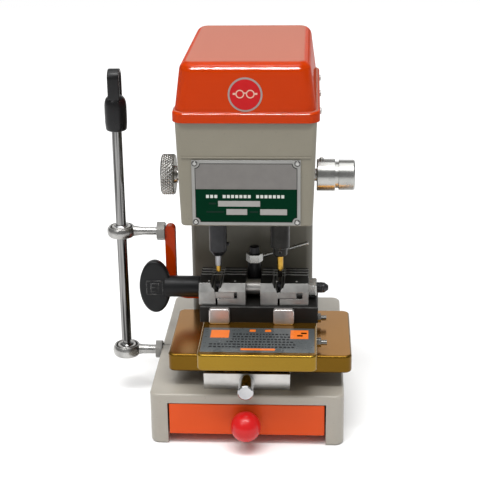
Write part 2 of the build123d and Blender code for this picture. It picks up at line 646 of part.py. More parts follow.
with BuildPart() as x_slide_plate:
    with BuildSketch(Plane.XY.offset(X_PLATE[4])):
        with Locations((between(X_PLATE[0], X_PLATE[1]), between(X_PLATE[2], X_PLATE[3]))):
            RectangleRounded(X_PLATE[1] - X_PLATE[0], X_PLATE[3] - X_PLATE[2], 7)
    extrude(amount=X_PLATE[5] - X_PLATE[4])
    fillet(x_slide_plate.faces().filter_by(Axis.Z).edges(), 2.2)
    with BuildSketch(Plane.YZ.offset(X_PLATE[0] - 1)):
        with BuildLine():
            Polyline(
                (X_RAIL_Y[0] - SLIDE_GAP, X_PLATE[4] - 1),
                (X_RAIL_Y[1] + SLIDE_GAP, X_PLATE[4] - 1),
                (X_RAIL_Y[1] + SLIDE_GAP, SADDLE_TOP),
                (X_RAIL_Y[1] + DOVETAIL + SLIDE_GAP, SADDLE_TOP + RAIL_H + SLIDE_GAP),
                (X_RAIL_Y[0] - DOVETAIL - SLIDE_GAP, SADDLE_TOP + RAIL_H + SLIDE_GAP),
                (X_RAIL_Y[0] - SLIDE_GAP, SADDLE_TOP),
                close=True,
            )
        make_face()
    extrude(amount=X_PLATE[1] - X_PLATE[0] + 2, mode=Mode.SUBTRACT)
    with BuildSketch(Plane.XZ.offset(-X_PLATE[2] - 3)):
        with BuildLine():
            Polyline(
                (CARRIAGE_X - Y_RAIL_HALF_W, X_PLATE[5] - 1),
                (CARRIAGE_X + Y_RAIL_HALF_W, X_PLATE[5] - 1),
                (CARRIAGE_X + Y_RAIL_HALF_W, X_PLATE[5]),
                (CARRIAGE_X + Y_RAIL_HALF_W + DOVETAIL, X_PLATE[5] + RAIL_H),
                (CARRIAGE_X - Y_RAIL_HALF_W - DOVETAIL, X_PLATE[5] + RAIL_H),
                (CARRIAGE_X - Y_RAIL_HALF_W, X_PLATE[5]),
                close=True,
            )
        make_face()
    extrude(amount=-(X_PLATE[3] - X_PLATE[2] - 6))
publish(x_slide_plate.part, "x_slide_plate")

GIB_SCREW_Y, GIB_Z, GIB_D = (FRONT + 29.5, FRONT + 88.0), 94.0, 5.0
GIB_BORE_L, GIB_PROUD = 12.0, 9.5

with BuildPart() as y_slide_plate:
    with BuildSketch(Plane.XY.offset(Y_PLATE[4])):
        with Locations((between(Y_PLATE[0], Y_PLATE[1]), between(Y_PLATE[2], Y_PLATE[3]))):
            RectangleRounded(Y_PLATE[1] - Y_PLATE[0], Y_PLATE[3] - Y_PLATE[2], 6)
    extrude(amount=Y_PLATE[5] - Y_PLATE[4])
    fillet(y_slide_plate.faces().filter_by(Axis.Z).edges(), 2.0)
    with BuildSketch(Plane.XZ.offset(-Y_PLATE[2] - BLIND_END)):
        with BuildLine():
            Polyline(
                (CARRIAGE_X - Y_RAIL_HALF_W - SLIDE_GAP, Y_PLATE[4] - 1),
                (CARRIAGE_X + Y_RAIL_HALF_W + SLIDE_GAP, Y_PLATE[4] - 1),
                (CARRIAGE_X + Y_RAIL_HALF_W + SLIDE_GAP, X_PLATE[5]),
                (CARRIAGE_X + Y_RAIL_HALF_W + DOVETAIL + SLIDE_GAP, X_PLATE[5] + RAIL_H + SLIDE_GAP),
                (CARRIAGE_X - Y_RAIL_HALF_W - DOVETAIL - SLIDE_GAP, X_PLATE[5] + RAIL_H + SLIDE_GAP),
                (CARRIAGE_X - Y_RAIL_HALF_W - SLIDE_GAP, X_PLATE[5]),
                close=True,
            )
        make_face()
    extrude(amount=-(Y_PLATE[3] - Y_PLATE[2] + 2), mode=Mode.SUBTRACT)
    with BuildSketch(Plane.YZ.offset(Y_PLATE[1])):
        with Locations(*[(y, GIB_Z) for y in GIB_SCREW_Y]):
            Circle(GIB_D / 2)
    extrude(amount=-GIB_BORE_L, mode=Mode.SUBTRACT)
publish(y_slide_plate.part, "y_slide_plate")

with BuildPart() as gib_screws:
    with BuildSketch(Plane.YZ.offset(Y_PLATE[1] - GIB_BORE_L)):
        with Locations(*[(y, GIB_Z) for y in GIB_SCREW_Y]):
            Circle(GIB_D / 2)
    extrude(amount=GIB_BORE_L + GIB_PROUD)
    with BuildSketch(Plane.YZ.offset(Y_PLATE[1])):
        with Locations(*[(y, GIB_Z) for y in GIB_SCREW_Y]):
            RegularPolygon(4.6, 6)
    extrude(amount=4)
publish(gib_screws.part, "gib_screws")

# ---- vises ------------------------------------------------------------------
BLOCK_W, BLOCK_H, BLOCK_T = 20.0, 15.5, 5.0
BLOCK_X = (-28.0, 34.0)
TIE_D = 10.0
JAW_BORE_D = TIE_D + 0.6

with BuildPart() as vise_bar:
    with BuildSketch(Plane.XY.offset(Y_PLATE[5])):
        with Locations((between(*BAR_X), between(*BAR_Y))):
            Rectangle(BAR_X[1] - BAR_X[0], BAR_Y[1] - BAR_Y[0])
    extrude(amount=BAR_TOP - Y_PLATE[5])
    chamfer(vise_bar.faces().sort_by(Axis.Z)[-1].edges(), 0.8)
publish(vise_bar.part, "vise_bar")

with BuildPart() as clamp_blocks:
    with BuildSketch(Plane.XZ.offset(-BAR_Y[0])):
        with Locations(*[(x, Y_PLATE[5] + BLOCK_H / 2) for x in BLOCK_X]):
            RectangleRounded(BLOCK_W, BLOCK_H, 2.5)
    extrude(amount=BLOCK_T)
    fillet(clamp_blocks.faces().sort_by(Axis.Y)[:2].edges(), 1.0)
publish(clamp_blocks.part, "clamp_blocks")

NOTCH_Z = 130.0
NOTCH_STEP_Z = 134.0
NOTCH_TOP, NOTCH_MID, NOTCH_LOW = 6.0, 3.4, 0.8
FRONT_BEVEL_Y, FRONT_BEVEL_Z = 4.0, 7.5
GROOVE_Y = (28.0, 35.0, 42.0)
GROOVE_W, GROOVE_D = 1.6, 1.2
SLOT_Z = (125.7, 132.3)
SLOT_DEPTH = 8.0
TONGUE_GAP = 0.3
VISE_SEAT = BAR_TOP + 0.2
LEFT_GAP_X = between(LEFT_VISE[1], LEFT_VISE[2])
RIGHT_GAP_X = between(RIGHT_VISE[1], RIGHT_VISE[2])


def jaw_outline(outer_x, face_x, gap_x, seat):
    """Corner points of a jaw's XZ section, from its outer foot round to the clamping face."""
    side = 1 if outer_x > gap_x else -1
    return [
        (outer_x, seat),
        (outer_x, VISE_TOP),
        (gap_x + side * NOTCH_TOP, VISE_TOP),
        (gap_x + side * (NOTCH_MID + 1.0), NOTCH_STEP_Z + 2.0),
        (gap_x + side * NOTCH_MID, NOTCH_STEP_Z + 2.0),
        (gap_x + side * (NOTCH_LOW + 1.2), NOTCH_STEP_Z),
        (gap_x + side * (NOTCH_LOW + 1.2), NOTCH_Z + 1.0),
        (face_x, NOTCH_Z),
        (face_x, seat),
    ]


with BuildPart() as vise_trim:
    with BuildSketch(Plane.YZ.offset(LEFT_VISE[0] - 5)):
        with BuildLine():
            Polyline(
                (VISE_Y[0] - 1, VISE_TOP - FRONT_BEVEL_Z),
                (VISE_Y[0], VISE_TOP - FRONT_BEVEL_Z),
                (VISE_Y[0] + FRONT_BEVEL_Y, VISE_TOP),
                (VISE_Y[0] + FRONT_BEVEL_Y, VISE_TOP + 1),
                (VISE_Y[0] - 1, VISE_TOP + 1),
                close=True,
            )
        make_face()
        for offset_y in GROOVE_Y:
            with Locations((VISE_Y[0] + offset_y, VISE_TOP)):
                Rectangle(GROOVE_W, 2 * GROOVE_D)
    extrude(amount=RIGHT_VISE[3] - LEFT_VISE[0] + 10)
    with BuildSketch(Plane.YZ.offset(LEFT_VISE[0] - 5)):
        with Locations((VISE_AXIS_Y, VISE_AXIS_Z)):
            Circle(JAW_BORE_D / 2)
    extrude(amount=RIGHT_VISE[3] - LEFT_VISE[0] + 10)

with BuildPart() as left_moving_jaw:
    with BuildSketch(Plane.XZ.offset(-VISE_Y[1])):
        with BuildLine():
            Polyline(*jaw_outline(LEFT_VISE[0], LEFT_VISE[1], LEFT_GAP_X, VISE_SEAT), close=True)
        make_face()
    extrude(amount=VISE_Y[1] - VISE_Y[0])
    add(vise_trim.part, mode=Mode.SUBTRACT)
    with BuildSketch(Plane.XZ.offset(-VISE_Y[0] - SLOT_DEPTH)):
        with Locations((LEFT_VISE[1] + 8.5, between(*SLOT_Z))):
            Rectangle(19, SLOT_Z[1] - SLOT_Z[0] - 2 * TONGUE_GAP)
    extrude(amount=SLOT_DEPTH - 0.6)
publish(left_moving_jaw.part, "left_moving_jaw")

with BuildPart() as left_fixed_jaw:
    with BuildSketch(Plane.XZ.offset(-VISE_Y[1])):
        with BuildLine():
            Polyline(*jaw_outline(LEFT_VISE[3], LEFT_VISE[2], LEFT_GAP_X, BAR_TOP), close=True)
        make_face()
    extrude(amount=VISE_Y[1] - VISE_Y[0])
    add(vise_trim.part, mode=Mode.SUBTRACT)
    with BuildSketch(Plane.XZ.offset(-VISE_Y[0] - SLOT_DEPTH - TONGUE_GAP)):
        with Locations((LEFT_VISE[2] + 9.0, between(*SLOT_Z))):
            Rectangle(20, SLOT_Z[1] - SLOT_Z[0])
    extrude(amount=SLOT_DEPTH + 2, mode=Mode.SUBTRACT)
publish(left_fixed_jaw.part, "left_fixed_jaw")

with BuildPart() as right_fixed_jaw:
    with BuildSketch(Plane.XZ.offset(-VISE_Y[1])):
        with BuildLine():
            Polyline(*jaw_outline(RIGHT_VISE[0], RIGHT_VISE[1], RIGHT_GAP_X, BAR_TOP), close=True)
        make_face()
    extrude(amount=VISE_Y[1] - VISE_Y[0])
    add(vise_trim.part, mode=Mode.SUBTRACT)
    with BuildSketch(Plane.XZ.offset(-VISE_Y[0] - SLOT_DEPTH)):
        with Locations((RIGHT_VISE[1] + 8.5, between(*SLOT_Z))):
            Rectangle(19, SLOT_Z[1] - SLOT_Z[0] - 2 * TONGUE_GAP)
    extrude(amount=SLOT_DEPTH - 0.6)
publish(right_fixed_jaw.part, "right_fixed_jaw")

with BuildPart() as right_moving_jaw:
    with BuildSketch(Plane.XZ.offset(-VISE_Y[1])):
        with BuildLine():
            Polyline(*jaw_outline(RIGHT_VISE[3], RIGHT_VISE[2], RIGHT_GAP_X, VISE_SEAT), close=True)
        make_face()
    extrude(amount=VISE_Y[1] - VISE_Y[0])
    add(vise_trim.part, mode=Mode.SUBTRACT)
    with BuildSketch(Plane.XZ.offset(-VISE_Y[0] - SLOT_DEPTH - TONGUE_GAP)):
        with Locations((RIGHT_VISE[2] + 10.5, between(*SLOT_Z))):
            Rectangle(23, SLOT_Z[1] - SLOT_Z[0])
    extrude(amount=SLOT_DEPTH + 2, mode=Mode.SUBTRACT)
publish(right_moving_jaw.part, "right_moving_jaw")

with BuildPart() as vise_spacer:
    with BuildSketch(Plane.YZ.offset(LEFT_VISE[3])):
        with Locations((VISE_AXIS_Y, VISE_AXIS_Z)):
            Circle(8)
            Circle(JAW_BORE_D / 2, mode=Mode.SUBTRACT)
    extrude(amount=RIGHT_VISE[0] - LEFT_VISE[3])
publish(vise_spacer.part, "vise_spacer")

TIE_END = 77.0
NUT_AF, NUT_T = 17.0, 8.0
BARREL_D, BARREL_X = 21.0, (-77.0, LEFT_VISE[0] - 0.2)

with BuildPart() as tie_rod:
    with BuildSketch(Plane.YZ.offset(BARREL_X[0] + 12)):
        with Locations((VISE_AXIS_Y, VISE_AXIS_Z)):
            Circle(TIE_D / 2)
    extrude(amount=TIE_END - 4 - BARREL_X[0] - 12)
    with BuildSketch(Plane.YZ.offset(TIE_END - 4)):
        with Locations((VISE_AXIS_Y, VISE_AXIS_Z)):
            Circle(TIE_D / 2)
    extrude(amount=4, taper=35)
publish(tie_rod.part, "tie_rod")

with BuildPart() as clamp_nut:
    with BuildSketch(Plane.YZ.offset(RIGHT_VISE[3])):
        with Locations((VISE_AXIS_Y, VISE_AXIS_Z)):
            RegularPolygon(NUT_AF / 2, 6, major_radius=False, rotation=30)
    extrude(amount=NUT_T)
    chamfer(clamp_nut.faces().sort_by(Axis.X)[-1].edges(), 0.8)
    with BuildSketch(Plane.YZ.offset(RIGHT_VISE[3])):
        with Locations((VISE_AXIS_Y, VISE_AXIS_Z)):
            Circle(TIE_D / 2)
    extrude(amount=NUT_T, mode=Mode.SUBTRACT)
publish(clamp_nut.part, "clamp_nut")

PADDLE_X, PADDLE_W, PADDLE_H, PADDLE_T = -93.0, 31.0, 54.0, 9.0

with BuildPart() as clamp_handle:
    with BuildSketch(Plane.XZ.offset(-VISE_AXIS_Y - PADDLE_T / 2)):
        with Locations((PADDLE_X, VISE_AXIS_Z)):
            Ellipse(PADDLE_W / 2, PADDLE_H / 2)
    extrude(amount=PADDLE_T)
    fillet(clamp_handle.edges(), 2.5)
    with BuildSketch(Plane.YZ.offset(BARREL_X[0] - 6)):
        with Locations((VISE_AXIS_Y, VISE_AXIS_Z)):
            Circle(BARREL_D / 2)
    extrude(amount=BARREL_X[1] - BARREL_X[0] + 6)
    chamfer(clamp_handle.faces().filter_by(Axis.X).sort_by(Axis.X)[-1].edges(), 1.0)
    with BuildSketch(Plane.YZ.offset(BARREL_X[0] + 8)):
        with Locations((VISE_AXIS_Y, VISE_AXIS_Z)):
            Circle(TIE_D / 2 + RUNNING)
    extrude(amount=40, mode=Mode.SUBTRACT)
publish(clamp_handle.part, "clamp_handle")

# ---- carriage lock ------------------------------------------------------------
POST_X, POST_Y, POST_D = 4.0, FRONT + 103.0, 13.5
COLLAR_Z, CAP_TOP, CAP_D = (148.5, 156.5), 164.0, 9.6
LOCK_ROD_D = 3.6
LOCK_ROD_START = (POST_X + 6.0, POST_Y + 3.0, 152.0)
LOCK_ROD_END = (POST_X + 53.0, POST_Y + 5.0, 166.0)

with BuildPart() as lock_post:
    for low, high, diameter in (
        (BAR_TOP, COLLAR_Z[0] - 0.2, POST_D),
        (COLLAR_Z[0] - 0.2, CAP_TOP - 1, 7.0),
    ):
        with BuildSketch(Plane.XY.offset(low)):
            with Locations((POST_X, POST_Y)):
                Circle(diameter / 2)
        extrude(amount=high - low)
    with BuildSketch(Plane.XY.offset(COLLAR_Z[1] + 0.2)):
        with Locations((POST_X, POST_Y)):
            Circle(CAP_D / 2)
    extrude(amount=CAP_TOP - COLLAR_Z[1] - 0.2)
    fillet(lock_post.faces().sort_by(Axis.Z)[-1].edges(), 1.0)
publish(lock_post.part, "lock_post")

with BuildPart() as lock_lever:
    with BuildSketch(Plane.XY.offset(COLLAR_Z[0])):
        with Locations((POST_X, POST_Y)):
            RegularPolygon(8.4, 6, major_radius=True)
            Circle(3.5 + RUNNING, mode=Mode.SUBTRACT)
    extrude(amount=COLLAR_Z[1] - COLLAR_Z[0])
    with BuildLine() as lock_path:
        Line(LOCK_ROD_START, LOCK_ROD_END)
    with BuildSketch(Plane(origin=LOCK_ROD_START, z_dir=lock_path.line % 0)):
        Circle(LOCK_ROD_D / 2)
    sweep(path=lock_path.line)
publish(lock_lever.part, "lock_lever")

# ---- joystick lever and its ball joints ------------------------------------------
ARM_X, ARM_W, ARM_T, ARM_TOP, ARM_FOOT_Z = -80.0, 10.0, 10.0, 183.0, 111.0
ARM_BEND = 17.0
CAVITY_R = RACE_R + 0.3
RACE_CAVITY_R = BALL_R + 0.3
RACE_HALF_T, BALL_HALF_T = 5.5, 7.0
GREASE_HOLE_D = 2.0
THREAD_D = 10.0

with BuildPart() as lever_arm:
    with BuildSketch(Plane.XZ.offset(-LEVER_Y - ARM_T / 2)):
        with BuildLine():
            Polyline((ARM_X, ARM_TOP - ARM_W / 2), (ARM_X, ARM_FOOT_Z + ARM_BEND))
            RadiusArc((ARM_X, ARM_FOOT_Z + ARM_BEND), (ARM_X + ARM_BEND, ARM_FOOT_Z), -ARM_BEND)
            Line((ARM_X + ARM_BEND, ARM_FOOT_Z), (BAR_X[0], ARM_FOOT_Z))
        trace(line_width=ARM_W)
        with Locations((ARM_X, ARM_TOP - ARM_W / 2)):
            Circle(ARM_W / 2)
    extrude(amount=ARM_T)
    with BuildSketch(Plane.YZ.offset(BAR_X[0])):
        with Locations((LEVER_Y + 10, ARM_FOOT_Z)):
            Rectangle(20, 20)
    extrude(amount=10, mode=Mode.SUBTRACT)
    with BuildSketch(Plane.YZ.offset(ARM_X - ARM_W)):
        with Locations((LEVER_Y, UPPER_BALL_Z)):
            Circle(THREAD_D / 2 - 1)
    extrude(amount=2 * ARM_W, mode=Mode.SUBTRACT)
publish(lever_arm.part, "lever_arm")

UPPER_NUT_X = (ARM_X - ARM_W / 2 - 8.0, ARM_X - ARM_W / 2)
LOWER_NUT_X = (-BASE_W / 2 - 6.5, -BASE_W / 2)

with BuildPart() as upper_rod_end:
    with BuildSketch(Plane.XY.offset(UPPER_BALL_Z - RING_T / 2)):
        with Locations((LEVER_X, LEVER_Y)):
            Circle(RING_D / 2)
    extrude(amount=RING_T)
    chamfer(upper_rod_end.edges(), 1.2)
    with BuildSketch(Plane.YZ.offset(LEVER_X + 9)):
        with Locations((LEVER_Y, UPPER_BALL_Z)):
            Circle(THREAD_D / 2)
    extrude(amount=UPPER_NUT_X[0] - LEVER_X - 9)
    with BuildSketch(Plane.YZ.offset(UPPER_NUT_X[0])):
        with Locations((LEVER_Y, UPPER_BALL_Z)):
            Circle(THREAD_D / 2 - 1)
    extrude(amount=UPPER_NUT_X[1] - UPPER_NUT_X[0] + ARM_W)
    with Locations((LEVER_X, LEVER_Y, UPPER_BALL_Z)):
        Sphere(CAVITY_R, mode=Mode.SUBTRACT)
publish(upper_rod_end.part, "upper_rod_end")

with BuildPart() as lower_rod_end:
    with BuildSketch(Plane.XY.offset(LOWER_BALL_Z - RING_T / 2)):
        with Locations((LEVER_X, LEVER_Y)):
            Circle(RING_D / 2)
    extrude(amount=RING_T)
    chamfer(lower_rod_end.edges(), 1.2)
    with BuildSketch(Plane.YZ.offset(LEVER_X + 10)):
        with Locations((LEVER_Y, LOWER_BALL_Z)):
            Circle(6)
    extrude(amount=LOWER_NUT_X[0] - LEVER_X - 10)
    with BuildSketch(Plane.YZ.offset(LOWER_NUT_X[0])):
        with Locations((LEVER_Y, LOWER_BALL_Z)):
            Circle(SHANK_D / 2)
    extrude(amount=LOWER_NUT_X[1] - LOWER_NUT_X[0] + 12)
    with Locations((LEVER_X, LEVER_Y, LOWER_BALL_Z)):
        Sphere(CAVITY_R, mode=Mode.SUBTRACT)
publish(lower_rod_end.part, "lower_rod_end")

with BuildPart() as upper_nut:
    with BuildSketch(Plane.YZ.offset(UPPER_NUT_X[0])):
        with Locations((LEVER_Y, UPPER_BALL_Z)):
            RegularPolygon(NUT_AF / 2, 6, major_radius=False, rotation=30)
            Circle(THREAD_D / 2 - 1, mode=Mode.SUBTRACT)
    extrude(amount=UPPER_NUT_X[1] - UPPER_NUT_X[0])
publish(upper_nut.part, "upper_nut")

with BuildPart() as lower_nut:
    with BuildSketch(Plane.YZ.offset(LOWER_NUT_X[0])):
        with Locations((LEVER_Y, LOWER_BALL_Z)):
            RegularPolygon(NUT_AF / 2, 6, major_radius=False, rotation=30)
            Circle(SHANK_D / 2, mode=Mode.SUBTRACT)
    extrude(amount=LOWER_NUT_X[1] - LOWER_NUT_X[0])
publish(lower_nut.part, "lower_nut")

for level, label in ((LOWER_BALL_Z, "lower_race"), (UPPER_BALL_Z, "upper_race")):
    with BuildPart() as race:
        with Locations((LEVER_X, LEVER_Y, level)):
            Sphere(RACE_R)
            Sphere(RACE_CAVITY_R, mode=Mode.SUBTRACT)
        with Locations((LEVER_X, LEVER_Y, level)):
            Box(3 * RACE_R, 3 * RACE_R, 2 * RACE_HALF_T, mode=Mode.INTERSECT)
            Cylinder(GREASE_HOLE_D / 2, 3 * RACE_R, rotation=(90, 0, 0), mode=Mode.SUBTRACT)
    publish(race.part, label)

ROD_BORE_GAP = 0.4
with BuildPart() as upper_ball:
    with Locations((LEVER_X, LEVER_Y, UPPER_BALL_Z)):
        Sphere(BALL_R)
        Box(3 * BALL_R, 3 * BALL_R, 2 * BALL_HALF_T, mode=Mode.INTERSECT)
        Cylinder(LEVER_ROD_D / 2 + ROD_BORE_GAP, 3 * BALL_R, mode=Mode.SUBTRACT)
publish(upper_ball.part, "upper_ball")

GRIP_Z, GRIP_D = (277.0, 315.0), 22.0
LOOP_TOP, LOOP_W, LOOP_T, LOOP_OUTER_W = 340.0, 12.5, 3.2, 19.0

with BuildPart() as lever_rod:
    with Locations((LEVER_X, LEVER_Y, LOWER_BALL_Z)):
        Sphere(BALL_R)
        Box(3 * BALL_R, 3 * BALL_R, 2 * BALL_HALF_T, mode=Mode.INTERSECT)
    with BuildSketch(Plane.XY.offset(LOWER_BALL_Z + BALL_HALF_T - 1)):
        with Locations((LEVER_X, LEVER_Y)):
            Circle(LEVER_ROD_D / 2 - 1)
    extrude(amount=6)
    with BuildSketch(Plane.XY.offset(LOWER_BALL_Z + BALL_HALF_T + 4)):
        with Locations((LEVER_X, LEVER_Y)):
            Circle(LEVER_ROD_D / 2)
    extrude(amount=GRIP_Z[0] + 25 - LOWER_BALL_Z - BALL_HALF_T - 4)
    chamfer(lever_rod.faces().sort_by(Axis.Z)[-1].edges(), 0.8)
publish(lever_rod.part, "lever_rod")

with BuildPart() as lever_grip:
    with BuildSketch(Plane.XZ.offset(-LEVER_Y)):
        with BuildLine():
            Polyline(
                (LEVER_X, GRIP_Z[0] - 4),
                (LEVER_X + 7.5, GRIP_Z[0] - 4),
                (LEVER_X + 7.5, GRIP_Z[0] - 1),
                (LEVER_X + GRIP_D / 2, GRIP_Z[0] + 2.5),
                (LEVER_X + GRIP_D / 2, GRIP_Z[1] - 5),
                (LEVER_X + GRIP_D / 2 - 4, GRIP_Z[1]),
                (LEVER_X, GRIP_Z[1]),
                close=True,
            )
        make_face()
    revolve(axis=Axis((LEVER_X, LEVER_Y, 0), (0, 0, 1)))
    with BuildSketch(Plane.YZ.offset(LEVER_X - LOOP_W / 2)):
        with Locations((LEVER_Y, LOOP_TOP - LOOP_OUTER_W / 2)):
            Circle(LOOP_OUTER_W / 2)
        with Locations((LEVER_Y, between(GRIP_Z[1] - 4, LOOP_TOP - LOOP_OUTER_W / 2))):
            Rectangle(LOOP_OUTER_W, LOOP_TOP - LOOP_OUTER_W / 2 - GRIP_Z[1] + 4)
        with Locations((LEVER_Y, LOOP_TOP - LOOP_OUTER_W / 2)):
            Circle(LOOP_OUTER_W / 2 - LOOP_T, mode=Mode.SUBTRACT)
        with Locations((LEVER_Y, between(GRIP_Z[1], LOOP_TOP - LOOP_OUTER_W / 2))):
            Rectangle(
                LOOP_OUTER_W - 2 * LOOP_T, LOOP_TOP - LOOP_OUTER_W / 2 - GRIP_Z[1], mode=Mode.SUBTRACT
            )
    extrude(amount=LOOP_W)
    with BuildSketch(Plane.XY.offset(GRIP_Z[0] - 5)):
        with Locations((LEVER_X, LEVER_Y)):
            Circle(LEVER_ROD_D / 2)
    extrude(amount=30, mode=Mode.SUBTRACT)
publish(lever_grip.part, "lever_grip")

# ---- drawer ---------------------------------------------------------------------
TRAY_W, TRAY_D, TRAY_Z, TRAY_T = DRAWER_OPENING_W - 2.0, 190.0, (10.2, 37.0), 2.0
PANEL_W, PANEL_Z, PANEL_T = 147.0, (10.4, 42.0), 4.0
KNOB_BALL_D, KNOB_BALL_Z = 28.4, 26.3

with BuildPart() as drawer_tray:
    with BuildSketch(Plane.XY.offset(TRAY_Z[0])):
        with Locations((0, FRONT + PANEL_T + TRAY_D / 2)):
            Rectangle(TRAY_W, TRAY_D)
    extrude(amount=TRAY_Z[1] - TRAY_Z[0])
    with BuildSketch(Plane.XY.offset(TRAY_Z[0] + TRAY_T)):
        with Locations((0, FRONT + PANEL_T + TRAY_D / 2)):
            Rectangle(TRAY_W - 2 * TRAY_T, TRAY_D - 2 * TRAY_T)
    extrude(amount=TRAY_Z[1], mode=Mode.SUBTRACT)
publish(drawer_tray.part, "drawer_tray")

with BuildPart() as drawer_front:
    with BuildSketch(Plane.XZ.offset(-FRONT - PANEL_T)):
        with Locations((0, between(*PANEL_Z))):
            Rectangle(PANEL_W, PANEL_Z[1] - PANEL_Z[0])
    extrude(amount=PANEL_T)
    fillet(drawer_front.faces().sort_by(Axis.Y)[0].edges(), 1.0)
publish(drawer_front.part, "drawer_front")

with BuildPart() as drawer_knob:
    with Locations((0, FRONT - 13.5, KNOB_BALL_Z)):
        Sphere(KNOB_BALL_D / 2)
    with BuildSketch(Plane.XZ.offset(-FRONT)):
        with Locations((0, KNOB_BALL_Z)):
            Circle(7)
    extrude(amount=8)
    split(bisect_by=Plane.XZ.offset(-FRONT), keep=Keep.TOP)
publish(drawer_knob.part, "drawer_knob")
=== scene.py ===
"""Looks of the key duplicating machine: materials for every CAD node, and the fine pieces on them."""
import json
import math
import random

import bpy
from mathutils import Matrix, Vector
from mathutils.bvhtree import BVHTree


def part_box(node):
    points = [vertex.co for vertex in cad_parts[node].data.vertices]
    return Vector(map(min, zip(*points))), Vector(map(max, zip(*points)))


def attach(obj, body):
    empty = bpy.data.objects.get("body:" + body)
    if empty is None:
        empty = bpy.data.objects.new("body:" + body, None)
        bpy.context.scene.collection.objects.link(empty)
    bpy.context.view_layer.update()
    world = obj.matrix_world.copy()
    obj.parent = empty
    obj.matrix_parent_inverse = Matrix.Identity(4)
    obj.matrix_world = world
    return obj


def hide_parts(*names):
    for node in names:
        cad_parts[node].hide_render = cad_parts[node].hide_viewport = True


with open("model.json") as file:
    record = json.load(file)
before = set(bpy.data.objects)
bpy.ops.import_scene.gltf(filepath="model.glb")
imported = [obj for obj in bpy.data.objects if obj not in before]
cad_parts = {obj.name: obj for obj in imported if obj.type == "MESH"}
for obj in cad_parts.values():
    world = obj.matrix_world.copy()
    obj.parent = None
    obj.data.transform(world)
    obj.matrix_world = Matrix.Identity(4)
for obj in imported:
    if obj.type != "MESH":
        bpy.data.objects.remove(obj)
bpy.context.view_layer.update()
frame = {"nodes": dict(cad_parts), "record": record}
random.seed(7)
MM = 0.001

bpy.context.scene.view_settings.view_transform = "Standard"

# ---- camera, lights and floor ----------------------------------------------
base_low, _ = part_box("base_casting")
CAMERA_PLACE = (0.060, base_low.y - 1.028, 0.577)
CAMERA_PITCH, CAMERA_YAW, CAMERA_ROLL = 19.75, 3.55, -0.8


def make_camera():
    """Camera at the photograph's viewing angle."""
    data = bpy.data.cameras.new("camera")
    data.lens = 91.5
    data.sensor_width = 36
    data.clip_start = 0.05
    camera = bpy.data.objects.new("camera", data)
    turn = Matrix.Rotation(math.radians(CAMERA_YAW), 4, "Z")
    tilt = Matrix.Rotation(math.radians(90 - CAMERA_PITCH), 4, "X")
    roll = Matrix.Rotation(math.radians(CAMERA_ROLL), 4, "Z")
    camera.matrix_world = Matrix.Translation(CAMERA_PLACE) @ turn @ tilt @ roll
    bpy.context.scene.collection.objects.link(camera)
    bpy.context.scene.camera = camera


def soft_light(name, place, target, size, power, shape="RECTANGLE"):
    """Area light at place, aimed at target; returns the lamp."""
    data = bpy.data.lights.new(name, "AREA")
    data.shape = shape
    data.size = size[0]
    data.size_y = size[1]
    data.energy = power
    lamp = bpy.data.objects.new(name, data)
    lamp.location = place
    lamp.rotation_euler = (Vector(target) - Vector(place)).to_track_quat("-Z", "Y").to_euler()
    bpy.context.scene.collection.objects.link(lamp)
    return lamp


def make_stage():
    """Pale floor, white surroundings and soft studio lights."""
    world = bpy.data.worlds.new("studio")
    world.use_nodes = True
    world.node_tree.nodes["Background"].inputs["Color"].default_value = (1, 1, 1, 1)
    world.node_tree.nodes["Background"].inputs["Strength"].default_value = 0.34
    bpy.context.scene.world = world
    bpy.ops.mesh.primitive_plane_add(size=12, location=(0, 0, 0))
    floor = bpy.context.object
    floor.name = "floor"
    paper = bpy.data.materials.new("floor_paper")
    paper.use_nodes = True
    shader = paper.node_tree.nodes["Principled BSDF"]
    shader.inputs["Base Color"].default_value = (0.93, 0.93, 0.93, 1)
    shader.inputs["Roughness"].default_value = 0.9
    floor.data.materials.append(paper)
    middle = (0, 0, 0.2)
    soft_light("key", (-0.9, -1.4, 1.5), middle, (0.6, 0.6), 4)
    soft_light("strip", (0.0, -0.55, 1.5), middle, (1.1, 0.16), 13)
    soft_light("rear", (0.0, 2.1, 1.0), middle, (3.2, 1.2), 9)
    sheen = soft_light("sheen", (0.0, -1.15, 1.20), middle, (1.1, 0.50), 230)
    sheen.visible_diffuse = False  # seen only as the streak in the cover's gloss
    glossy = bpy.data.collections.new("glossy_cover")
    glossy.objects.link(frame["nodes"]["top_cover"])
    sheen.light_linking.receiver_collection = glossy
    overhead = bpy.data.lights.new("overhead", "SUN")
    overhead.energy = 2.3
    overhead.angle = math.radians(70)
    lamp = bpy.data.objects.new("overhead", overhead)
    lamp.rotation_euler = (math.radians(8), math.radians(-6), 0)
    bpy.context.scene.collection.objects.link(lamp)


make_camera()
make_stage()


# ---- materials ---------------------------------------------------------------
def link(tree, a, a_socket, b, b_socket):
    """Join one node's output to another's input."""
    tree.links.new(a.outputs[a_socket], b.inputs[b_socket])


def noise(tree, coords, scale, detail, stretch=(1, 1, 1)):
    """Noise texture over the object, stretched along chosen axes."""
    mapping = tree.nodes.new("ShaderNodeMapping")
    mapping.inputs["Scale"].default_value = stretch
    tree.links.new(coords, mapping.inputs["Vector"])
    texture = tree.nodes.new("ShaderNodeTexNoise")
    texture.inputs["Scale"].default_value = scale
    texture.inputs["Detail"].default_value = detail
    link(tree, mapping, "Vector", texture, "Vector")
    return texture.outputs["Fac"]


def spread(tree, value, low, high, out_low, out_high):
    """Map a value's middle range onto another range, clamped."""
    node = tree.nodes.new("ShaderNodeMapRange")
    node.inputs["From Min"].default_value = low
    node.inputs["From Max"].default_value = high
    node.inputs["To Min"].default_value = out_low
    node.inputs["To Max"].default_value = out_high
    tree.links.new(value, node.inputs["Value"])
    return node.outputs["Result"]


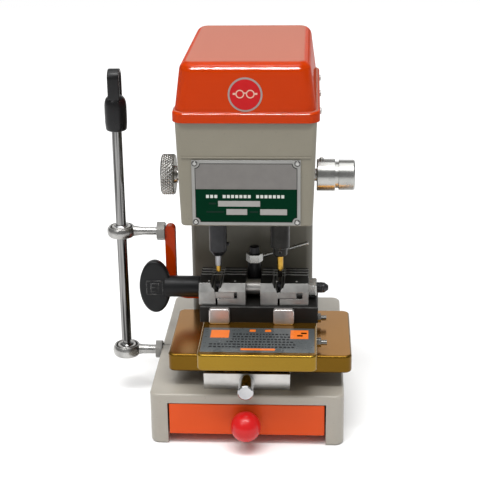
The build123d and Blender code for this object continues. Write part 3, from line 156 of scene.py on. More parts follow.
def mix(tree, factor, colour_a, colour_b):
    """Colour mix of two colours or colour sockets."""
    node = tree.nodes.new("ShaderNodeMix")
    node.data_type = "RGBA"
    tree.links.new(factor, node.inputs["Factor"])
    for socket, colour in (("A", colour_a), ("B", colour_b)):
        target = [s for s in node.inputs if s.name == socket and s.type == "RGBA"][0]
        if isinstance(colour, tuple):
            target.default_value = (*colour, 1)
        else:
            tree.links.new(colour, target)
    return [s for s in node.outputs if s.type == "RGBA"][0]


def edge_mask(tree, radius):
    """One where the surface turns sharply, zero on flats; and the softened normal."""
    bevel = tree.nodes.new("ShaderNodeBevel")
    bevel.samples = 6
    bevel.inputs["Radius"].default_value = radius
    geometry = tree.nodes.new("ShaderNodeNewGeometry")
    dot = tree.nodes.new("ShaderNodeVectorMath")
    dot.operation = "DOT_PRODUCT"
    link(tree, bevel, "Normal", dot, 0)
    link(tree, geometry, "Normal", dot, 1)
    return spread(tree, dot.outputs["Value"], 0.99, 0.85, 0.0, 1.0), bevel.outputs["Normal"]


def finish_of(
    name, colour, shade, roughness, metallic=0.0, coat=0.0, coat_roughness=0.08, patch=40.0, patch_mix=0.6,
    grain=900.0, grain_depth=0.05, stretch=(1, 1, 1), wear_and_edge_highlight=None, edge=0.0006, specular=0.35, speck=None,
    top=None, tip=None, reflection_streaks=False,
):
    """Procedural surface: patchy colour, varied gloss, fine grain, rounded edges with an edge colour that is
    wear, and on the handle marks a painted highlight.

    speck is the colour of fine specks, top the colour of upward faces (a painted reflection), tip a colour
    and the height it starts below, and streaks draws the patches out along Z (painted reflection stripes).
    """
    material = bpy.data.materials.new(name)
    material.use_nodes = True
    tree = material.node_tree
    shader = tree.nodes["Principled BSDF"]
    coords = tree.nodes.new("ShaderNodeTexCoord").outputs["Object"]
    edges, soft_normal = edge_mask(tree, edge)
    # light and dark stripes drawn out along Z: painted reflection on the chrome rod
    if reflection_streaks:
        patches = spread(tree, noise(tree, coords, 620.0, 2, (1, 1, 0.012)), 0.40, 0.60, 0.0, patch_mix)
    else:
        patches = spread(tree, noise(tree, coords, patch, 4), 0.35, 0.68, 0.0, patch_mix)
    base = mix(tree, patches, colour, shade)
    if speck:
        specks = spread(tree, noise(tree, coords, 420.0, 1), 0.70, 0.76, 0.0, 0.55)
        base = mix(tree, specks, base, speck)
    # edge colour: wear on most materials; on the handle marks a painted highlight
    if wear_and_edge_highlight:
        wear_and_highlight_noise = noise(tree, coords, 160.0, 3)
        wear_and_highlight_mask = tree.nodes.new("ShaderNodeMath")
        wear_and_highlight_mask.operation = "MULTIPLY"
        tree.links.new(edges, wear_and_highlight_mask.inputs[0])
        tree.links.new(spread(tree, wear_and_highlight_noise, 0.4, 0.62, 0.0, 0.8), wear_and_highlight_mask.inputs[1])
        base = mix(tree, wear_and_highlight_mask.outputs["Value"], base, wear_and_edge_highlight)
    if tip:
        place = tree.nodes.new("ShaderNodeSeparateXYZ")
        tree.links.new(coords, place.inputs["Vector"])
        below = spread(tree, place.outputs["Z"], tip[1] - 0.0002, tip[1] + 0.0002, 1.0, 0.0)
        base = mix(tree, below, base, tip[0])
    # painted reflection: upward faces take the top colour, standing in for what they reflect from above
    if top:
        facing_up = tree.nodes.new("ShaderNodeSeparateXYZ")
        geometry = tree.nodes.new("ShaderNodeNewGeometry")
        tree.links.new(geometry.outputs["Normal"], facing_up.inputs["Vector"])
        base = mix(tree, spread(tree, facing_up.outputs["Z"], 0.90, 0.98, 0.0, 1.0), base, top)
    tree.links.new(base, shader.inputs["Base Color"])
    gloss = noise(tree, coords, patch * 2.3, 5, stretch)
    tree.links.new(spread(tree, gloss, 0.3, 0.7, roughness[0], roughness[1]), shader.inputs["Roughness"])
    bump = tree.nodes.new("ShaderNodeBump")
    bump.inputs["Strength"].default_value = grain_depth
    bump.inputs["Distance"].default_value = 0.0004
    tree.links.new(noise(tree, coords, grain, 3, stretch), bump.inputs["Height"])
    tree.links.new(soft_normal, bump.inputs["Normal"])
    link(tree, bump, "Normal", shader, "Normal")
    shader.inputs["Metallic"].default_value = metallic
    shader.inputs["Coat Weight"].default_value = coat
    shader.inputs["Coat Roughness"].default_value = coat_roughness
    shader.inputs["Specular IOR Level"].default_value = specular
    return material


ACROSS_X = (0.06, 1, 1)
ACROSS_Y = (1, 0.06, 1)
ALONG_Z = (1, 1, 0.06)
MATERIALS = {
    # grey_paint and the base's paint below are shaded and lit copies of one grey paint: the head's copy
    # darker, painted shade
    "grey_paint": finish_of(
        "grey_paint", (0.190, 0.174, 0.133), (0.163, 0.149, 0.113), (0.34, 0.46), coat=0.12, patch=30,
        patch_mix=0.3, grain=700, grain_depth=0.14, wear_and_edge_highlight=(0.30, 0.28, 0.23), speck=(0.15, 0.14, 0.11),
    ),
    # the column's paint: a darker copy of the grey paint, painted shade under the head and cover
    "column_painted_shade": finish_of(
        "column_painted_shade", (0.135, 0.127, 0.100), (0.085, 0.080, 0.062), (0.38, 0.5), coat=0.08, patch=18,
        patch_mix=0.35, grain=600, grain_depth=0.18, wear_and_edge_highlight=(0.30, 0.285, 0.24),
    ),
    # orange_paint: its top colour is a painted reflection, the cover's upward faces paler and pinker than its
    # sides
    "orange_paint": finish_of(
        "orange_paint", (0.42, 0.031, 0.0001), (0.37, 0.027, 0.0001), (0.34, 0.40), coat=0.22,
        coat_roughness=0.02, patch=14, patch_mix=0.5, grain=90, grain_depth=0.004, edge=0.0010, specular=0.0,
        top=(0.35, 0.107, 0.067),
    ),
    "orange_plastic": finish_of(
        "orange_plastic", (0.61, 0.073, 0.012), (0.55, 0.063, 0.010), (0.34, 0.44), coat=0.05, patch=20,
        patch_mix=0.5, grain=1100, grain_depth=0.05, specular=0.12,
    ),
    # the base's paint: the lit copy of grey_paint, lighter as painted light
    "base_grey_painted_light": finish_of(
        "base_grey_painted_light", (0.335, 0.310, 0.266), (0.290, 0.268, 0.229), (0.32, 0.44), coat=0.15, patch=26,
        patch_mix=0.5, grain=700, grain_depth=0.14, wear_and_edge_highlight=(0.44, 0.42, 0.37), speck=(0.27, 0.255, 0.215),
    ),
    # gold_anodised: its top colour is a painted reflection, upward faces browner than the sides
    "gold_anodised": finish_of(
        "gold_anodised", (0.26, 0.155, 0.017), (0.18, 0.105, 0.011), (0.18, 0.25), metallic=0.85, patch=9,
        patch_mix=0.4, grain=520, grain_depth=0.015, wear_and_edge_highlight=(0.80, 0.62, 0.30), edge=0.0012,
        top=(0.26, 0.125, 0.012),
    ),
    # the wide plate's gold: a darker copy of the gold, painted reflection on its front and sides; its top
    # colour is painted reflection too
    "gold_painted_reflection": finish_of(
        "gold_painted_reflection", (0.14, 0.072, 0.005), (0.09, 0.045, 0.003), (0.18, 0.25), metallic=0.85, patch=9,
        patch_mix=0.4, grain=520, grain_depth=0.015, wear_and_edge_highlight=(0.80, 0.62, 0.30), edge=0.0012,
        top=(0.30, 0.132, 0.014),
    ),
    "steel": finish_of(
        "steel", (0.50, 0.49, 0.47), (0.36, 0.355, 0.34), (0.26, 0.42), metallic=1.0, patch=60,
        patch_mix=0.5, grain=800, grain_depth=0.08, stretch=ACROSS_Y, wear_and_edge_highlight=(0.75, 0.74, 0.72),
    ),
    "saddle_steel": finish_of(
        "saddle_steel", (0.58, 0.57, 0.55), (0.40, 0.39, 0.375), (0.28, 0.42), metallic=1.0, patch=48,
        patch_mix=0.6, grain=500, grain_depth=0.10, stretch=ACROSS_X, wear_and_edge_highlight=(0.8, 0.79, 0.77),
    ),
    # jaw_steel: its near-black top colour is a painted reflection on the jaws' upward faces
    "jaw_steel": finish_of(
        "jaw_steel", (0.40, 0.395, 0.38), (0.19, 0.19, 0.185), (0.28, 0.46), metallic=0.95, patch=55,
        patch_mix=0.8, grain=620, grain_depth=0.16, stretch=ACROSS_X, wear_and_edge_highlight=(0.72, 0.71, 0.68), edge=0.0005,
        top=(0.022, 0.022, 0.021),
    ),
    "dark_steel": finish_of(
        "dark_steel", (0.030, 0.030, 0.032), (0.016, 0.016, 0.018), (0.28, 0.44), metallic=0.6, patch=60,
        patch_mix=0.7, grain=700, grain_depth=0.08, wear_and_edge_highlight=(0.22, 0.22, 0.22), edge=0.0005,
    ),
    "grip_rubber": finish_of(
        "grip_rubber", (0.0045, 0.0045, 0.005), (0.0075, 0.0075, 0.008), (0.24, 0.36), patch=40,
        patch_mix=0.6, grain=900, grain_depth=0.05, edge=0.0008, specular=0.25,
    ),
    "rod_end_steel": finish_of(
        "rod_end_steel", (0.44, 0.435, 0.42), (0.24, 0.236, 0.228), (0.20, 0.34), metallic=1.0, patch=70,
        patch_mix=0.8, grain=600, grain_depth=0.08, wear_and_edge_highlight=(0.65, 0.64, 0.62),
    ),
    "bar_paint": finish_of(
        "bar_paint", (0.007, 0.0065, 0.006), (0.013, 0.012, 0.011), (0.36, 0.50), patch=50, patch_mix=0.7,
        grain=500, grain_depth=0.14, stretch=ACROSS_X, wear_and_edge_highlight=(0.30, 0.29, 0.27), edge=0.0006, specular=0.2,
    ),
    "chrome": finish_of(
        "chrome", (0.46, 0.46, 0.47), (0.33, 0.33, 0.34), (0.08, 0.17), metallic=1.0, patch=60,
        patch_mix=0.7, grain=500, grain_depth=0.02, wear_and_edge_highlight=(0.75, 0.75, 0.75),
    ),
    # rod_chrome: its light and dark stripes along the rod are painted reflection
    "rod_chrome": finish_of(
        "rod_chrome", (0.27, 0.267, 0.263), (0.045, 0.0445, 0.044), (0.12, 0.20), metallic=1.0, patch=30,
        patch_mix=1.0, grain=1400, grain_depth=0.22, stretch=ALONG_Z, reflection_streaks=True,
    ),
    "aluminium": finish_of(
        "aluminium", (0.66, 0.62, 0.60), (0.52, 0.49, 0.47), (0.32, 0.45), metallic=0.9, patch=60,
        patch_mix=0.6, grain=700, grain_depth=0.10, stretch=ALONG_Z, wear_and_edge_highlight=(0.82, 0.80, 0.78),
    ),
    "black_plastic": finish_of(
        "black_plastic", (0.0035, 0.0037, 0.0042), (0.006, 0.0063, 0.007), (0.32, 0.46), patch=40,
        patch_mix=0.6, grain=1300, grain_depth=0.07, wear_and_edge_highlight=(0.02, 0.02, 0.023), edge=0.0010, specular=0.22,
    ),
    # marked_plastic: the near-white edge colour on the raised marks is a painted highlight
    "marked_plastic": finish_of(
        "marked_plastic", (0.012, 0.012, 0.012), (0.006, 0.0063, 0.007), (0.30, 0.42), patch=40,
        patch_mix=0.6, grain=1300, grain_depth=0.07, wear_and_edge_highlight=(0.75, 0.75, 0.74), edge=0.0006, specular=0.22,
    ),
    "red_plastic": finish_of(
        "red_plastic", (0.52, 0.008, 0.009), (0.45, 0.006, 0.007), (0.28, 0.36), coat=0.25, patch=30,
        patch_mix=0.5, grain=700, grain_depth=0.02, specular=0.2,
    ),
    # near-black steel for the quill, spindle and bottom plate: painted shade
    "steel_painted_shade": finish_of(
        "steel_painted_shade", (0.022, 0.0215, 0.020), (0.010, 0.0098, 0.009), (0.24, 0.40), metallic=0.9, patch=70,
        patch_mix=0.7, grain=500, grain_depth=0.06, wear_and_edge_highlight=(0.45, 0.45, 0.44),
    ),
    "knurl_steel": finish_of(
        "knurl_steel", (0.36, 0.355, 0.34), (0.22, 0.216, 0.205), (0.16, 0.26), metallic=1.0, patch=90,
        patch_mix=0.6, grain=900, grain_depth=0.02, edge=0.00005,
    ),
    "hub_steel": finish_of(
        "hub_steel", (0.40, 0.40, 0.385), (0.27, 0.27, 0.26), (0.20, 0.30), metallic=1.0, patch=50,
        patch_mix=0.6, grain=500, grain_depth=0.05, wear_and_edge_highlight=(0.7, 0.7, 0.68),
    ),
    "nut_steel": finish_of(
        "nut_steel", (0.19, 0.186, 0.175), (0.10, 0.098, 0.094), (0.26, 0.42), metallic=1.0, patch=90,
        patch_mix=0.7, grain=700, grain_depth=0.08, wear_and_edge_highlight=(0.65, 0.64, 0.62), edge=0.0005,
    ),
    "rubber": finish_of(
        "rubber", (0.015, 0.015, 0.015), (0.026, 0.026, 0.026), (0.6, 0.8), patch=50, patch_mix=0.6,
        grain=900, grain_depth=0.2,
    ),
    "tracer_steel": finish_of(
        "tracer_steel", (0.30, 0.30, 0.31), (0.22, 0.22, 0.225), (0.24, 0.36), metallic=1.0, patch=160,
        patch_mix=0.6, grain=900, grain_depth=0.06, stretch=ALONG_Z,
        tip=((0.52, 0.30, 0.05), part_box("tracer")[0].z + 7.0 * MM),
    ),
    "cutter_brass": finish_of(
        "cutter_brass", (0.50, 0.30, 0.055), (0.34, 0.19, 0.03), (0.20, 0.34), metallic=1.0, patch=160,
        patch_mix=0.7, grain=900, grain_depth=0.08, stretch=ALONG_Z,
        tip=((0.03, 0.028, 0.025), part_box("cutter")[0].z + 6.5 * MM),
    ),
    "plate_metal": finish_of(
        "plate_metal", (0.27, 0.268, 0.255), (0.21, 0.208, 0.198), (0.30, 0.40), metallic=0.5, patch=40,
        patch_mix=0.5, grain=500, grain_depth=0.05, stretch=ACROSS_X,
    ),
}

NODE_MATERIALS = {
    "base_casting": "base_grey_painted_light",
    "tracer": "tracer_steel",
    "cutter": "cutter_brass",
    "column": "column_painted_shade",
    "x_slide_plate": "gold_painted_reflection",
    "saddle": "saddle_steel",
    "vise_bar": "bar_paint",
    "left_fixed_jaw": "jaw_steel",
    "spindle_quill": "steel_painted_shade",
    "spindle_shaft": "steel_painted_shade",
    "lock_lever": "hub_steel",
    "nameplate_rivets": "hub_steel",
    "clamp_nut": "hub_steel",
    "upper_nut": "nut_steel",
    "lower_nut": "nut_steel",
    "gib_screws": "nut_steel",
    "bottom_plate": "steel_painted_shade",
    "feed_hub": "hub_steel",
    "right_fixed_jaw": "jaw_steel",
    "left_moving_jaw": "jaw_steel",
    "right_moving_jaw": "jaw_steel",
    "quill_bridge": "steel",
    "lever_rod": "rod_chrome",
    "nameplate": "plate_metal",
}
slots = {entry["node"]: entry["material_slot"] for entry in frame["record"]["subparts"]}
for node, thing in frame["nodes"].items():
    key = NODE_MATERIALS.get(node, slots[node])
    thing.data.materials.clear()
    thing.data.materials.append(MATERIALS[key])


# ---- building blocks for the fine pieces -----------------------------------------
def settle(obj, material, body, bevel=0.0, segments=2, smooth=True):
    """Bevel, shade, paint and hang one fine piece on its body."""
    if bevel:
        soften = obj.modifiers.new("soften", "BEVEL")
        soften.width = bevel
        soften.segments = segments
        soften.limit_method = "ANGLE"
        soften.angle_limit = math.radians(40)
    if smooth:
        for polygon in obj.data.polygons:
            polygon.use_smooth = True
        crease = obj.modifiers.new("crease", "EDGE_SPLIT")
        crease.split_angle = math.radians(38)
    obj.data.materials.append(material)
    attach(obj, body)
    return obj


def mesh_object(name, points, faces):
    """Object from points and faces."""
    data = bpy.data.meshes.new(name)
    data.from_pydata(points, [], faces)
    data.validate()
    data.update()
    obj = bpy.data.objects.new(name, data)
    bpy.context.scene.collection.objects.link(obj)
    return obj


def prism(name, outline, thickness, place=Matrix.Identity(4)):
    """Flat outline in local XY, thickened along local +Z, then placed."""
    count = len(outline)
    points = [place @ Vector((x, y, z)) for z in (0.0, thickness) for x, y in outline]
    faces = [tuple(reversed(range(count))), tuple(range(count, 2 * count))]
    for i in range(count):
        j = (i + 1) % count
        faces.append((i, j, count + j, count + i))
    return mesh_object(name, points, faces)


def ring_prism(name, outer, inner, thickness, place):
    """Band between two outlines with the same number of points."""
    count = len(outer)
    rows = [(outer, 0.0), (outer, thickness), (inner, thickness), (inner, 0.0)]
    points = [place @ Vector((x, y, z)) for outline, z in rows for x, y in outline]
    faces = []
    for row in range(4):
        following = (row + 1) % 4
        for i in range(count):
            j = (i + 1) % count
            faces.append((row * count + i, row * count + j, following * count + j, following * count + i))
    return mesh_object(name, points, faces)


def turned(name, profile, place, steps=64):
    """Solid of revolution about local Z from (radius, height) points."""
    points, faces = [], []
    for radius, height in profile:
        for step in range(steps):
            angle = 2 * math.pi * step / steps
            points.append(place @ Vector((radius * math.cos(angle), radius * math.sin(angle), height)))
    for row in range(len(profile) - 1):
        for step in range(steps):
            following = (step + 1) % steps
            low, high = row * steps, (row + 1) * steps
            faces.append((low + step, low + following, high + following, high + step))
    faces.append(tuple(reversed(range(steps))))
    faces.append(tuple(range((len(profile) - 1) * steps, len(profile) * steps)))
    return mesh_object(name, points, faces)


def circle(radius, steps=48, middle=(0.0, 0.0)):
    """Points of a circle."""
    turn = 2 * math.pi / steps
    angles = [i * turn for i in range(steps)]
    return [(middle[0] + radius * math.cos(a), middle[1] + radius * math.sin(a)) for a in angles]


def rounded(width, height, corner, middle=(0.0, 0.0), steps=5):
    """Points of a rectangle with rounded corners."""
    points = []
    for quarter, (sx, sy) in enumerate(((1, 1), (-1, 1), (-1, -1), (1, -1))):
        centre_x = middle[0] + sx * (width / 2 - corner)
        centre_y = middle[1] + sy * (height / 2 - corner)
        for step in range(steps + 1):
            angle = math.pi / 2 * (quarter + step / steps)
            points.append((centre_x + corner * math.cos(angle), centre_y + corner * math.sin(angle)))
    return points


def facing(origin, outward, up=(0, 0, 1)):
    """Placement whose local Z points outward and local Y roughly upward."""
    z_axis = Vector(outward).normalized()
    x_axis = Vector(up).cross(z_axis).normalized()
    y_axis = z_axis.cross(x_axis)
    turn = Matrix((x_axis, y_axis, z_axis)).transposed().to_4x4()
    return Matrix.Translation(origin) @ turn


def surface_at(node, start, direction):
    """Point and normal where a ray first meets a CAD node."""
    data = frame["nodes"][node].data
    tree = BVHTree.FromPolygons([v.co for v in data.vertices], [tuple(p.vertices) for p in data.polygons])
    point, normal, _, _ = tree.ray_cast(Vector(start), Vector(direction))
    return point, normal


def plain(name, colour, roughness, metallic=0.0, coat=0.0, specular=0.12):
    """Small printed or plated area with a slight unevenness."""
    shade = tuple(channel * 0.86 for channel in colour)
    return finish_of(
        name, colour, shade, (roughness, roughness + 0.08), metallic=metallic, coat=coat, patch=120,
        patch_mix=0.5, grain=900, grain_depth=0.03, edge=0.0002, specular=specular,
    )


INK = {
    "frame_line": plain("frame_line", (0.012, 0.012, 0.012), 0.4),
    "panel_grey": plain("panel_grey", (0.168, 0.160, 0.152), 0.35, metallic=0.3),
    "panel_green": plain("panel_green", (0.0005, 0.021, 0.0085), 0.45, specular=0.02),
    "print_white": plain("print_white", (0.52, 0.55, 0.51), 0.45),
    "print_faint": plain("print_faint", (0.001, 0.016, 0.008), 0.45),
    "field_silver": plain("field_silver", (0.30, 0.29, 0.275), 0.35, metallic=0.3),
    "sticker_grey": plain("sticker_grey", (0.27, 0.23, 0.21), 0.3, coat=0.1),
    "sticker_red": plain("sticker_red", (0.42, 0.006, 0.008), 0.3, coat=0.1),
    "sticker_pale": plain("sticker_pale", (0.60, 0.38, 0.30), 0.35),
    "label_metal": plain("label_metal", (0.135, 0.15, 0.155), 0.26, metallic=0.55, coat=0.3),
    "label_orange": plain("label_orange", (0.72, 0.16, 0.02), 0.35, coat=0.3),
    "print_black": plain("print_black", (0.010, 0.011, 0.012), 0.4),
}
SKIN = 0.12 * MM

# ---- nameplate art -----------------------------------------------------------------
plate_low, plate_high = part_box("nameplate")
plate_w, plate_h = plate_high.x - plate_low.x, plate_high.z - plate_low.z
plate_middle = Vector((0, plate_low.y, (plate_low.z + plate_high.z) / 2))
plate_front = facing(plate_middle, (0, -1, 0))
PLATE_MARGIN, NOTCH_R = 3.0 * MM, 4.4 * MM
GREEN_SHARE = 0.56


def notched(low_x, low_z, high_x, high_z, notch, corners):
    """Rectangle outline whose chosen corners are cut by inward quarter circles."""
    spots = ((high_x, high_z, 1, 1), (low_x, high_z, -1, 1), (low_x, low_z, -1, -1), (high_x, low_z, 1, -1))
    outline = []
    for number, (x, z, sx, sz) in enumerate(spots):
        if number not in corners:
            outline.append((x, z))
            continue
        arc = []
        for step in range(7):
            angle = math.pi / 2 * step / 6
            arc.append((x - sx * notch * math.cos(angle), z - sz * notch * math.sin(angle)))
        outline.extend(arc if number in (1, 3) else reversed(arc))
    return outline


half_w, half_h = plate_w / 2 - PLATE_MARGIN, plate_h / 2 - PLATE_MARGIN
split_z = -plate_h / 2 + plate_h * GREEN_SHARE
line_w = 0.55 * MM
border = prism(
    "nameplate_border", notched(-half_w, -half_h, half_w, half_h, NOTCH_R, (0, 1, 2, 3)), SKIN, plate_front
)
settle(border, INK["frame_line"], "frame", smooth=False)
lift = Matrix.Translation((0, -SKIN, 0))
upper_panel = prism(
    "nameplate_upper_panel",
    notched(-half_w + line_w, split_z, half_w - line_w, half_h - line_w, NOTCH_R, (0, 1)),
    SKIN, lift @ plate_front,
)
settle(upper_panel, INK["panel_grey"], "frame", smooth=False)
lower_panel = prism(
    "nameplate_lower_panel",
    notched(-half_w + line_w, -half_h + line_w, half_w - line_w, split_z - 0.2 * MM, NOTCH_R, (2, 3)),
    SKIN, lift @ plate_front,
)
settle(lower_panel, INK["panel_green"], "frame", smooth=False)
RIVET_INSET, RIVET_RIM, RIVET_LINE = 3.0 * MM, 2.7 * MM, 0.45 * MM
for side_x in (-1, 1):
    for side_z in (-1, 1):
        spot = (side_x * (plate_w / 2 - RIVET_INSET), side_z * (plate_h / 2 - RIVET_INSET))
        rim = ring_prism(
            f"rivet_rim_{side_x + 1}_{side_z + 1}", circle(RIVET_RIM, 32, spot),
            circle(RIVET_RIM - RIVET_LINE, 32, spot), SKIN, lift @ plate_front,
        )
        settle(rim, INK["frame_line"], "frame", smooth=False)


def plate_bar(name, left, right, bottom, top, ink):
    """Printed bar on the nameplate, given in shares of the plate's width and height."""
    width, height = (right - left) * plate_w, (top - bottom) * plate_h
    middle = ((left + right) / 2 * plate_w - plate_w / 2, (bottom + top) / 2 * plate_h - plate_h / 2)
    place = Matrix.Translation((0, -2 * SKIN, 0)) @ plate_front
    piece = prism(name, rounded(width, height, 0.12 * MM, middle, 2), SKIN, place)
    settle(piece, INK[ink], "frame", smooth=False)


LINE_LEFT, LINE_PITCH, LINE_MARK, LINE_GROUPS = 0.13, 0.0385, 0.027, (3, 7, 7)
mark = 0
for count in LINE_GROUPS:
    for _ in range(count):
        left = LINE_LEFT + mark * LINE_PITCH
        plate_bar(f"plate_line_mark_{mark}", left, left + LINE_MARK, 0.424, 0.472, "print_white")
        mark += 1
    mark += 1
plate_bar("plate_field_top", 0.240, 0.628, 0.293, 0.380, "field_silver")
plate_bar("plate_field_left", 0.316, 0.508, 0.164, 0.254, "field_silver")
plate_bar("plate_field_right", 0.628, 0.876, 0.164, 0.254, "field_silver")
plate_bar("plate_caption_top", 0.155, 0.220, 0.325, 0.352, "print_faint")
plate_bar("plate_caption_left", 0.130, 0.295, 0.196, 0.222, "print_faint")
plate_bar("plate_caption_right", 0.530, 0.610, 0.196, 0.222, "print_faint")

# ---- safety sticker on the cover -----------------------------------------------------
rim_low, rim_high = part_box("top_cover")
STICKER_R = 15.6 * MM
STICKER_Z = rim_high.z - 29.0 * MM
sticker_spot, sticker_normal = surface_at("top_cover", (0, rim_low.y - 0.1, STICKER_Z), (0, 1, 0))
sticker_place = facing(sticker_spot, sticker_normal)


def sticker_piece(name, outline, ink, layer, inner=None):
    """One printed layer of the sticker."""
    place = sticker_place @ Matrix.Translation((0, 0, layer * SKIN))
    if inner:
        piece = ring_prism(name, outline, inner, SKIN, place)
    else:
        piece = prism(name, outline, SKIN, place)
    settle(piece, INK[ink], "frame", smooth=False)


LENS_R, LENS_X, LENS_Y, LENS_WIRE = 3.9 * MM, 4.7 * MM, 0.6 * MM, 1.0 * MM
sticker_piece("sticker_rim", circle(STICKER_R, 96), "sticker_grey", 0)
sticker_piece("sticker_disc", circle(STICKER_R - 1.7 * MM, 96), "sticker_red", 1)
for side, label in ((-1, "left"), (1, "right")):
    lens = (side * LENS_X, LENS_Y)
    lens_hole = circle(LENS_R - LENS_WIRE, 48, lens)
    sticker_piece(f"sticker_lens_{label}", circle(LENS_R, 48, lens), "sticker_pale", 2, lens_hole)
    strap = (side * (LENS_X + LENS_R + 1.3 * MM), LENS_Y + 0.2 * MM)
    sticker_piece(f"sticker_strap_{label}", rounded(2.4 * MM, 1.7 * MM, 0.3 * MM, strap), "sticker_pale", 2)
bridge = rounded(2.2 * MM, 1.1 * MM, 0.3 * MM, (0, LENS_Y + 0.9 * MM))
sticker_piece("sticker_bridge", bridge, "sticker_pale", 2)

# ---- head ledge above the nameplate ------------------------------------------------------
head_low, head_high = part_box("head_casting")
LEDGE_H, LEDGE_OUT = 1.6 * MM, 0.9 * MM
HEAD_FOOT_HALF, HEAD_FLARE, LEDGE_INSET = 61.3 * MM, 3.4 * MM, 4.0 * MM
ledge_z = plate_high.z + 2.2 * MM
ledge_share = (ledge_z - head_low.z) / (head_high.z - head_low.z)
ledge_half = HEAD_FOOT_HALF + ledge_share * HEAD_FLARE - LEDGE_INSET
ledge = prism(
    "head_ledge", rounded(2 * ledge_half, LEDGE_H, 0.5 * MM), LEDGE_OUT,
    facing((0, head_low.y, ledge_z), (0, -1, 0)),
)
settle(ledge, MATERIALS["grey_paint"], "frame", bevel=0.4 * MM)

# ---- knurled tracer knob ------------------------------------------------------------------
knob_low, knob_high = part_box("tracer_knob")
knob_r = (knob_high.z - knob_low.z) / 2
knob_axis = Vector((knob_low.x, (knob_low.y + knob_high.y) / 2, (knob_low.z + knob_high.z) / 2))
knob_place = facing(knob_axis, (1, 0, 0))
KNOB_LENGTH = 12.6 * MM
KNURL_TEETH, KNURL_DEPTH, KNURL_LEAN, KNURL_STEPS, KNURL_ROWS = 34, 0.85 * MM, 0.9, 408, 30
# Neck between knob and head: millimetres beyond the knob, and its radius as a share of the knob's.
NECK_STEPS = ((2.2, 0.43), (2.4, 0.30), (3.4, 0.30), (3.6, 0.42), (5.6, 0.42), (5.8, 0.30), (24, 0.30))


def knurled_knob():
    """Drum with a diamond knurl, plain chamfers, a turned face and a stepped neck."""
    points, faces = [], []
    rows = [(0.0, 0.30, 0), (0.0, 0.62, 0), (0.5 * MM, 0.66, 0), (0.5 * MM, 0.88, 0), (0.0, 0.90, 0)]
    rows += [(0.0, 0.955, 0), (0.9 * MM, 0.985, 0)]
    for row in range(KNURL_ROWS + 1):
        rows.append((1.1 * MM + (KNOB_LENGTH - 2.2 * MM) * row / KNURL_ROWS, 1.0, 1))
    rows += [(KNOB_LENGTH - 0.9 * MM, 0.985, 0), (KNOB_LENGTH, 0.955, 0), (KNOB_LENGTH, 0.45, 0)]
    for beyond, share in NECK_STEPS:
        rows.append((KNOB_LENGTH + beyond * MM, share, 0))
    twist = KNURL_TEETH * KNURL_LEAN / (knob_r * 2 * math.pi)
    for height, share, cut in rows:
        for step in range(KNURL_STEPS):
            angle = 2 * math.pi * step / KNURL_STEPS
            along = height * twist
            turn = KNURL_TEETH * step / KNURL_STEPS
            right = abs(((turn + along) % 1.0) - 0.5) * 2
            left = abs(((turn - along) % 1.0) - 0.5) * 2
            radius = knob_r * share - cut * KNURL_DEPTH * max(right, left) ** 2
            points.append(knob_place @ Vector((radius * math.cos(angle), radius * math.sin(angle), height)))
    for row in range(len(rows) - 1):
        for step in range(KNURL_STEPS):
            following = (step + 1) % KNURL_STEPS
            low, high = row * KNURL_STEPS, (row + 1) * KNURL_STEPS
            faces.append((low + step, low + following, high + following, high + step))
    faces.append(tuple(reversed(range(KNURL_STEPS))))
    faces.append(tuple(range((len(rows) - 1) * KNURL_STEPS, len(rows) * KNURL_STEPS)))
    return mesh_object("knurled_knob", points, faces)


knob = settle(knurled_knob(), MATERIALS["knurl_steel"], "tracer_knob")
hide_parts("tracer_knob")

# ---- table label ------------------------------------------------------------------------
table_low, table_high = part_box("y_slide_plate")
LABEL_SIZE = (table_high.x - table_low.x - 4.5 * MM, 54.5 * MM)
LABEL_FRONT = 7 * MM
label_x = (table_low.x + table_high.x) / 2
label_middle = Vector((label_x, table_low.y + LABEL_FRONT + LABEL_SIZE[1] / 2, table_high.z))
label_place = Matrix.Translation(label_middle)
label = prism("table_label", rounded(*LABEL_SIZE, 1.0 * MM), SKIN, label_place)
settle(label, INK["label_metal"], "table", smooth=False)


def label_mark(name, left, right, near, far, ink):
    """Printed mark on the table label, given in shares of its width and depth."""
    width, depth = (right - left) * LABEL_SIZE[0], (far - near) * LABEL_SIZE[1]
    middle_x = (left + right) / 2 * LABEL_SIZE[0] - LABEL_SIZE[0] / 2
    middle_y = (near + far) / 2 * LABEL_SIZE[1] - LABEL_SIZE[1] / 2
    place = Matrix.Translation((0, 0, SKIN)) @ label_place
    piece = prism(name, rounded(width, depth, 0.2 * MM, (middle_x, middle_y), 2), SKIN, place)
    settle(piece, INK[ink], "table", smooth=False)


label_mark("label_patch_left", 0.070, 0.235, 0.58, 0.90, "label_orange")
label_mark("label_patch_right", 0.785, 0.945, 0.56, 0.92, "label_orange")
label_mark("label_tab_left", 0.415, 0.470, 0.84, 0.93, "label_orange")
label_mark("label_tab_right", 0.555, 0.610, 0.84, 0.93, "label_orange")
label_mark("label_line_near", 0.355, 0.655, 0.075, 0.15, "label_orange")
# Each line of dashes: its far edge, and where it starts and ends.
LABEL_LINES = (
    (0.76, 0.27, 0.77), (0.655, 0.27, 0.77), (0.55, 0.27, 0.77),
    (0.445, 0.22, 0.80), (0.34, 0.07, 0.84), (0.235, 0.07, 0.80),
)
DASH_HEIGHT, DASH_GAP = 0.045, 0.012
for number, (far, left, right) in enumerate(LABEL_LINES):
    place = left
    dash = 0
    while place < right:
        width = random.uniform(0.012, 0.030)
        label_mark(f"label_dash_{number}_{dash}", place, place + width, far - DASH_HEIGHT, far, "print_black")
        place += width + DASH_GAP
        dash += 1
for number, share in enumerate((0.0, 0.035)):
    left = 0.845 + share
    near = 0.66 + share * 3
    label_mark(f"label_patch_mark_{number}", left, left + 0.05, near, near + 0.06, "print_black")

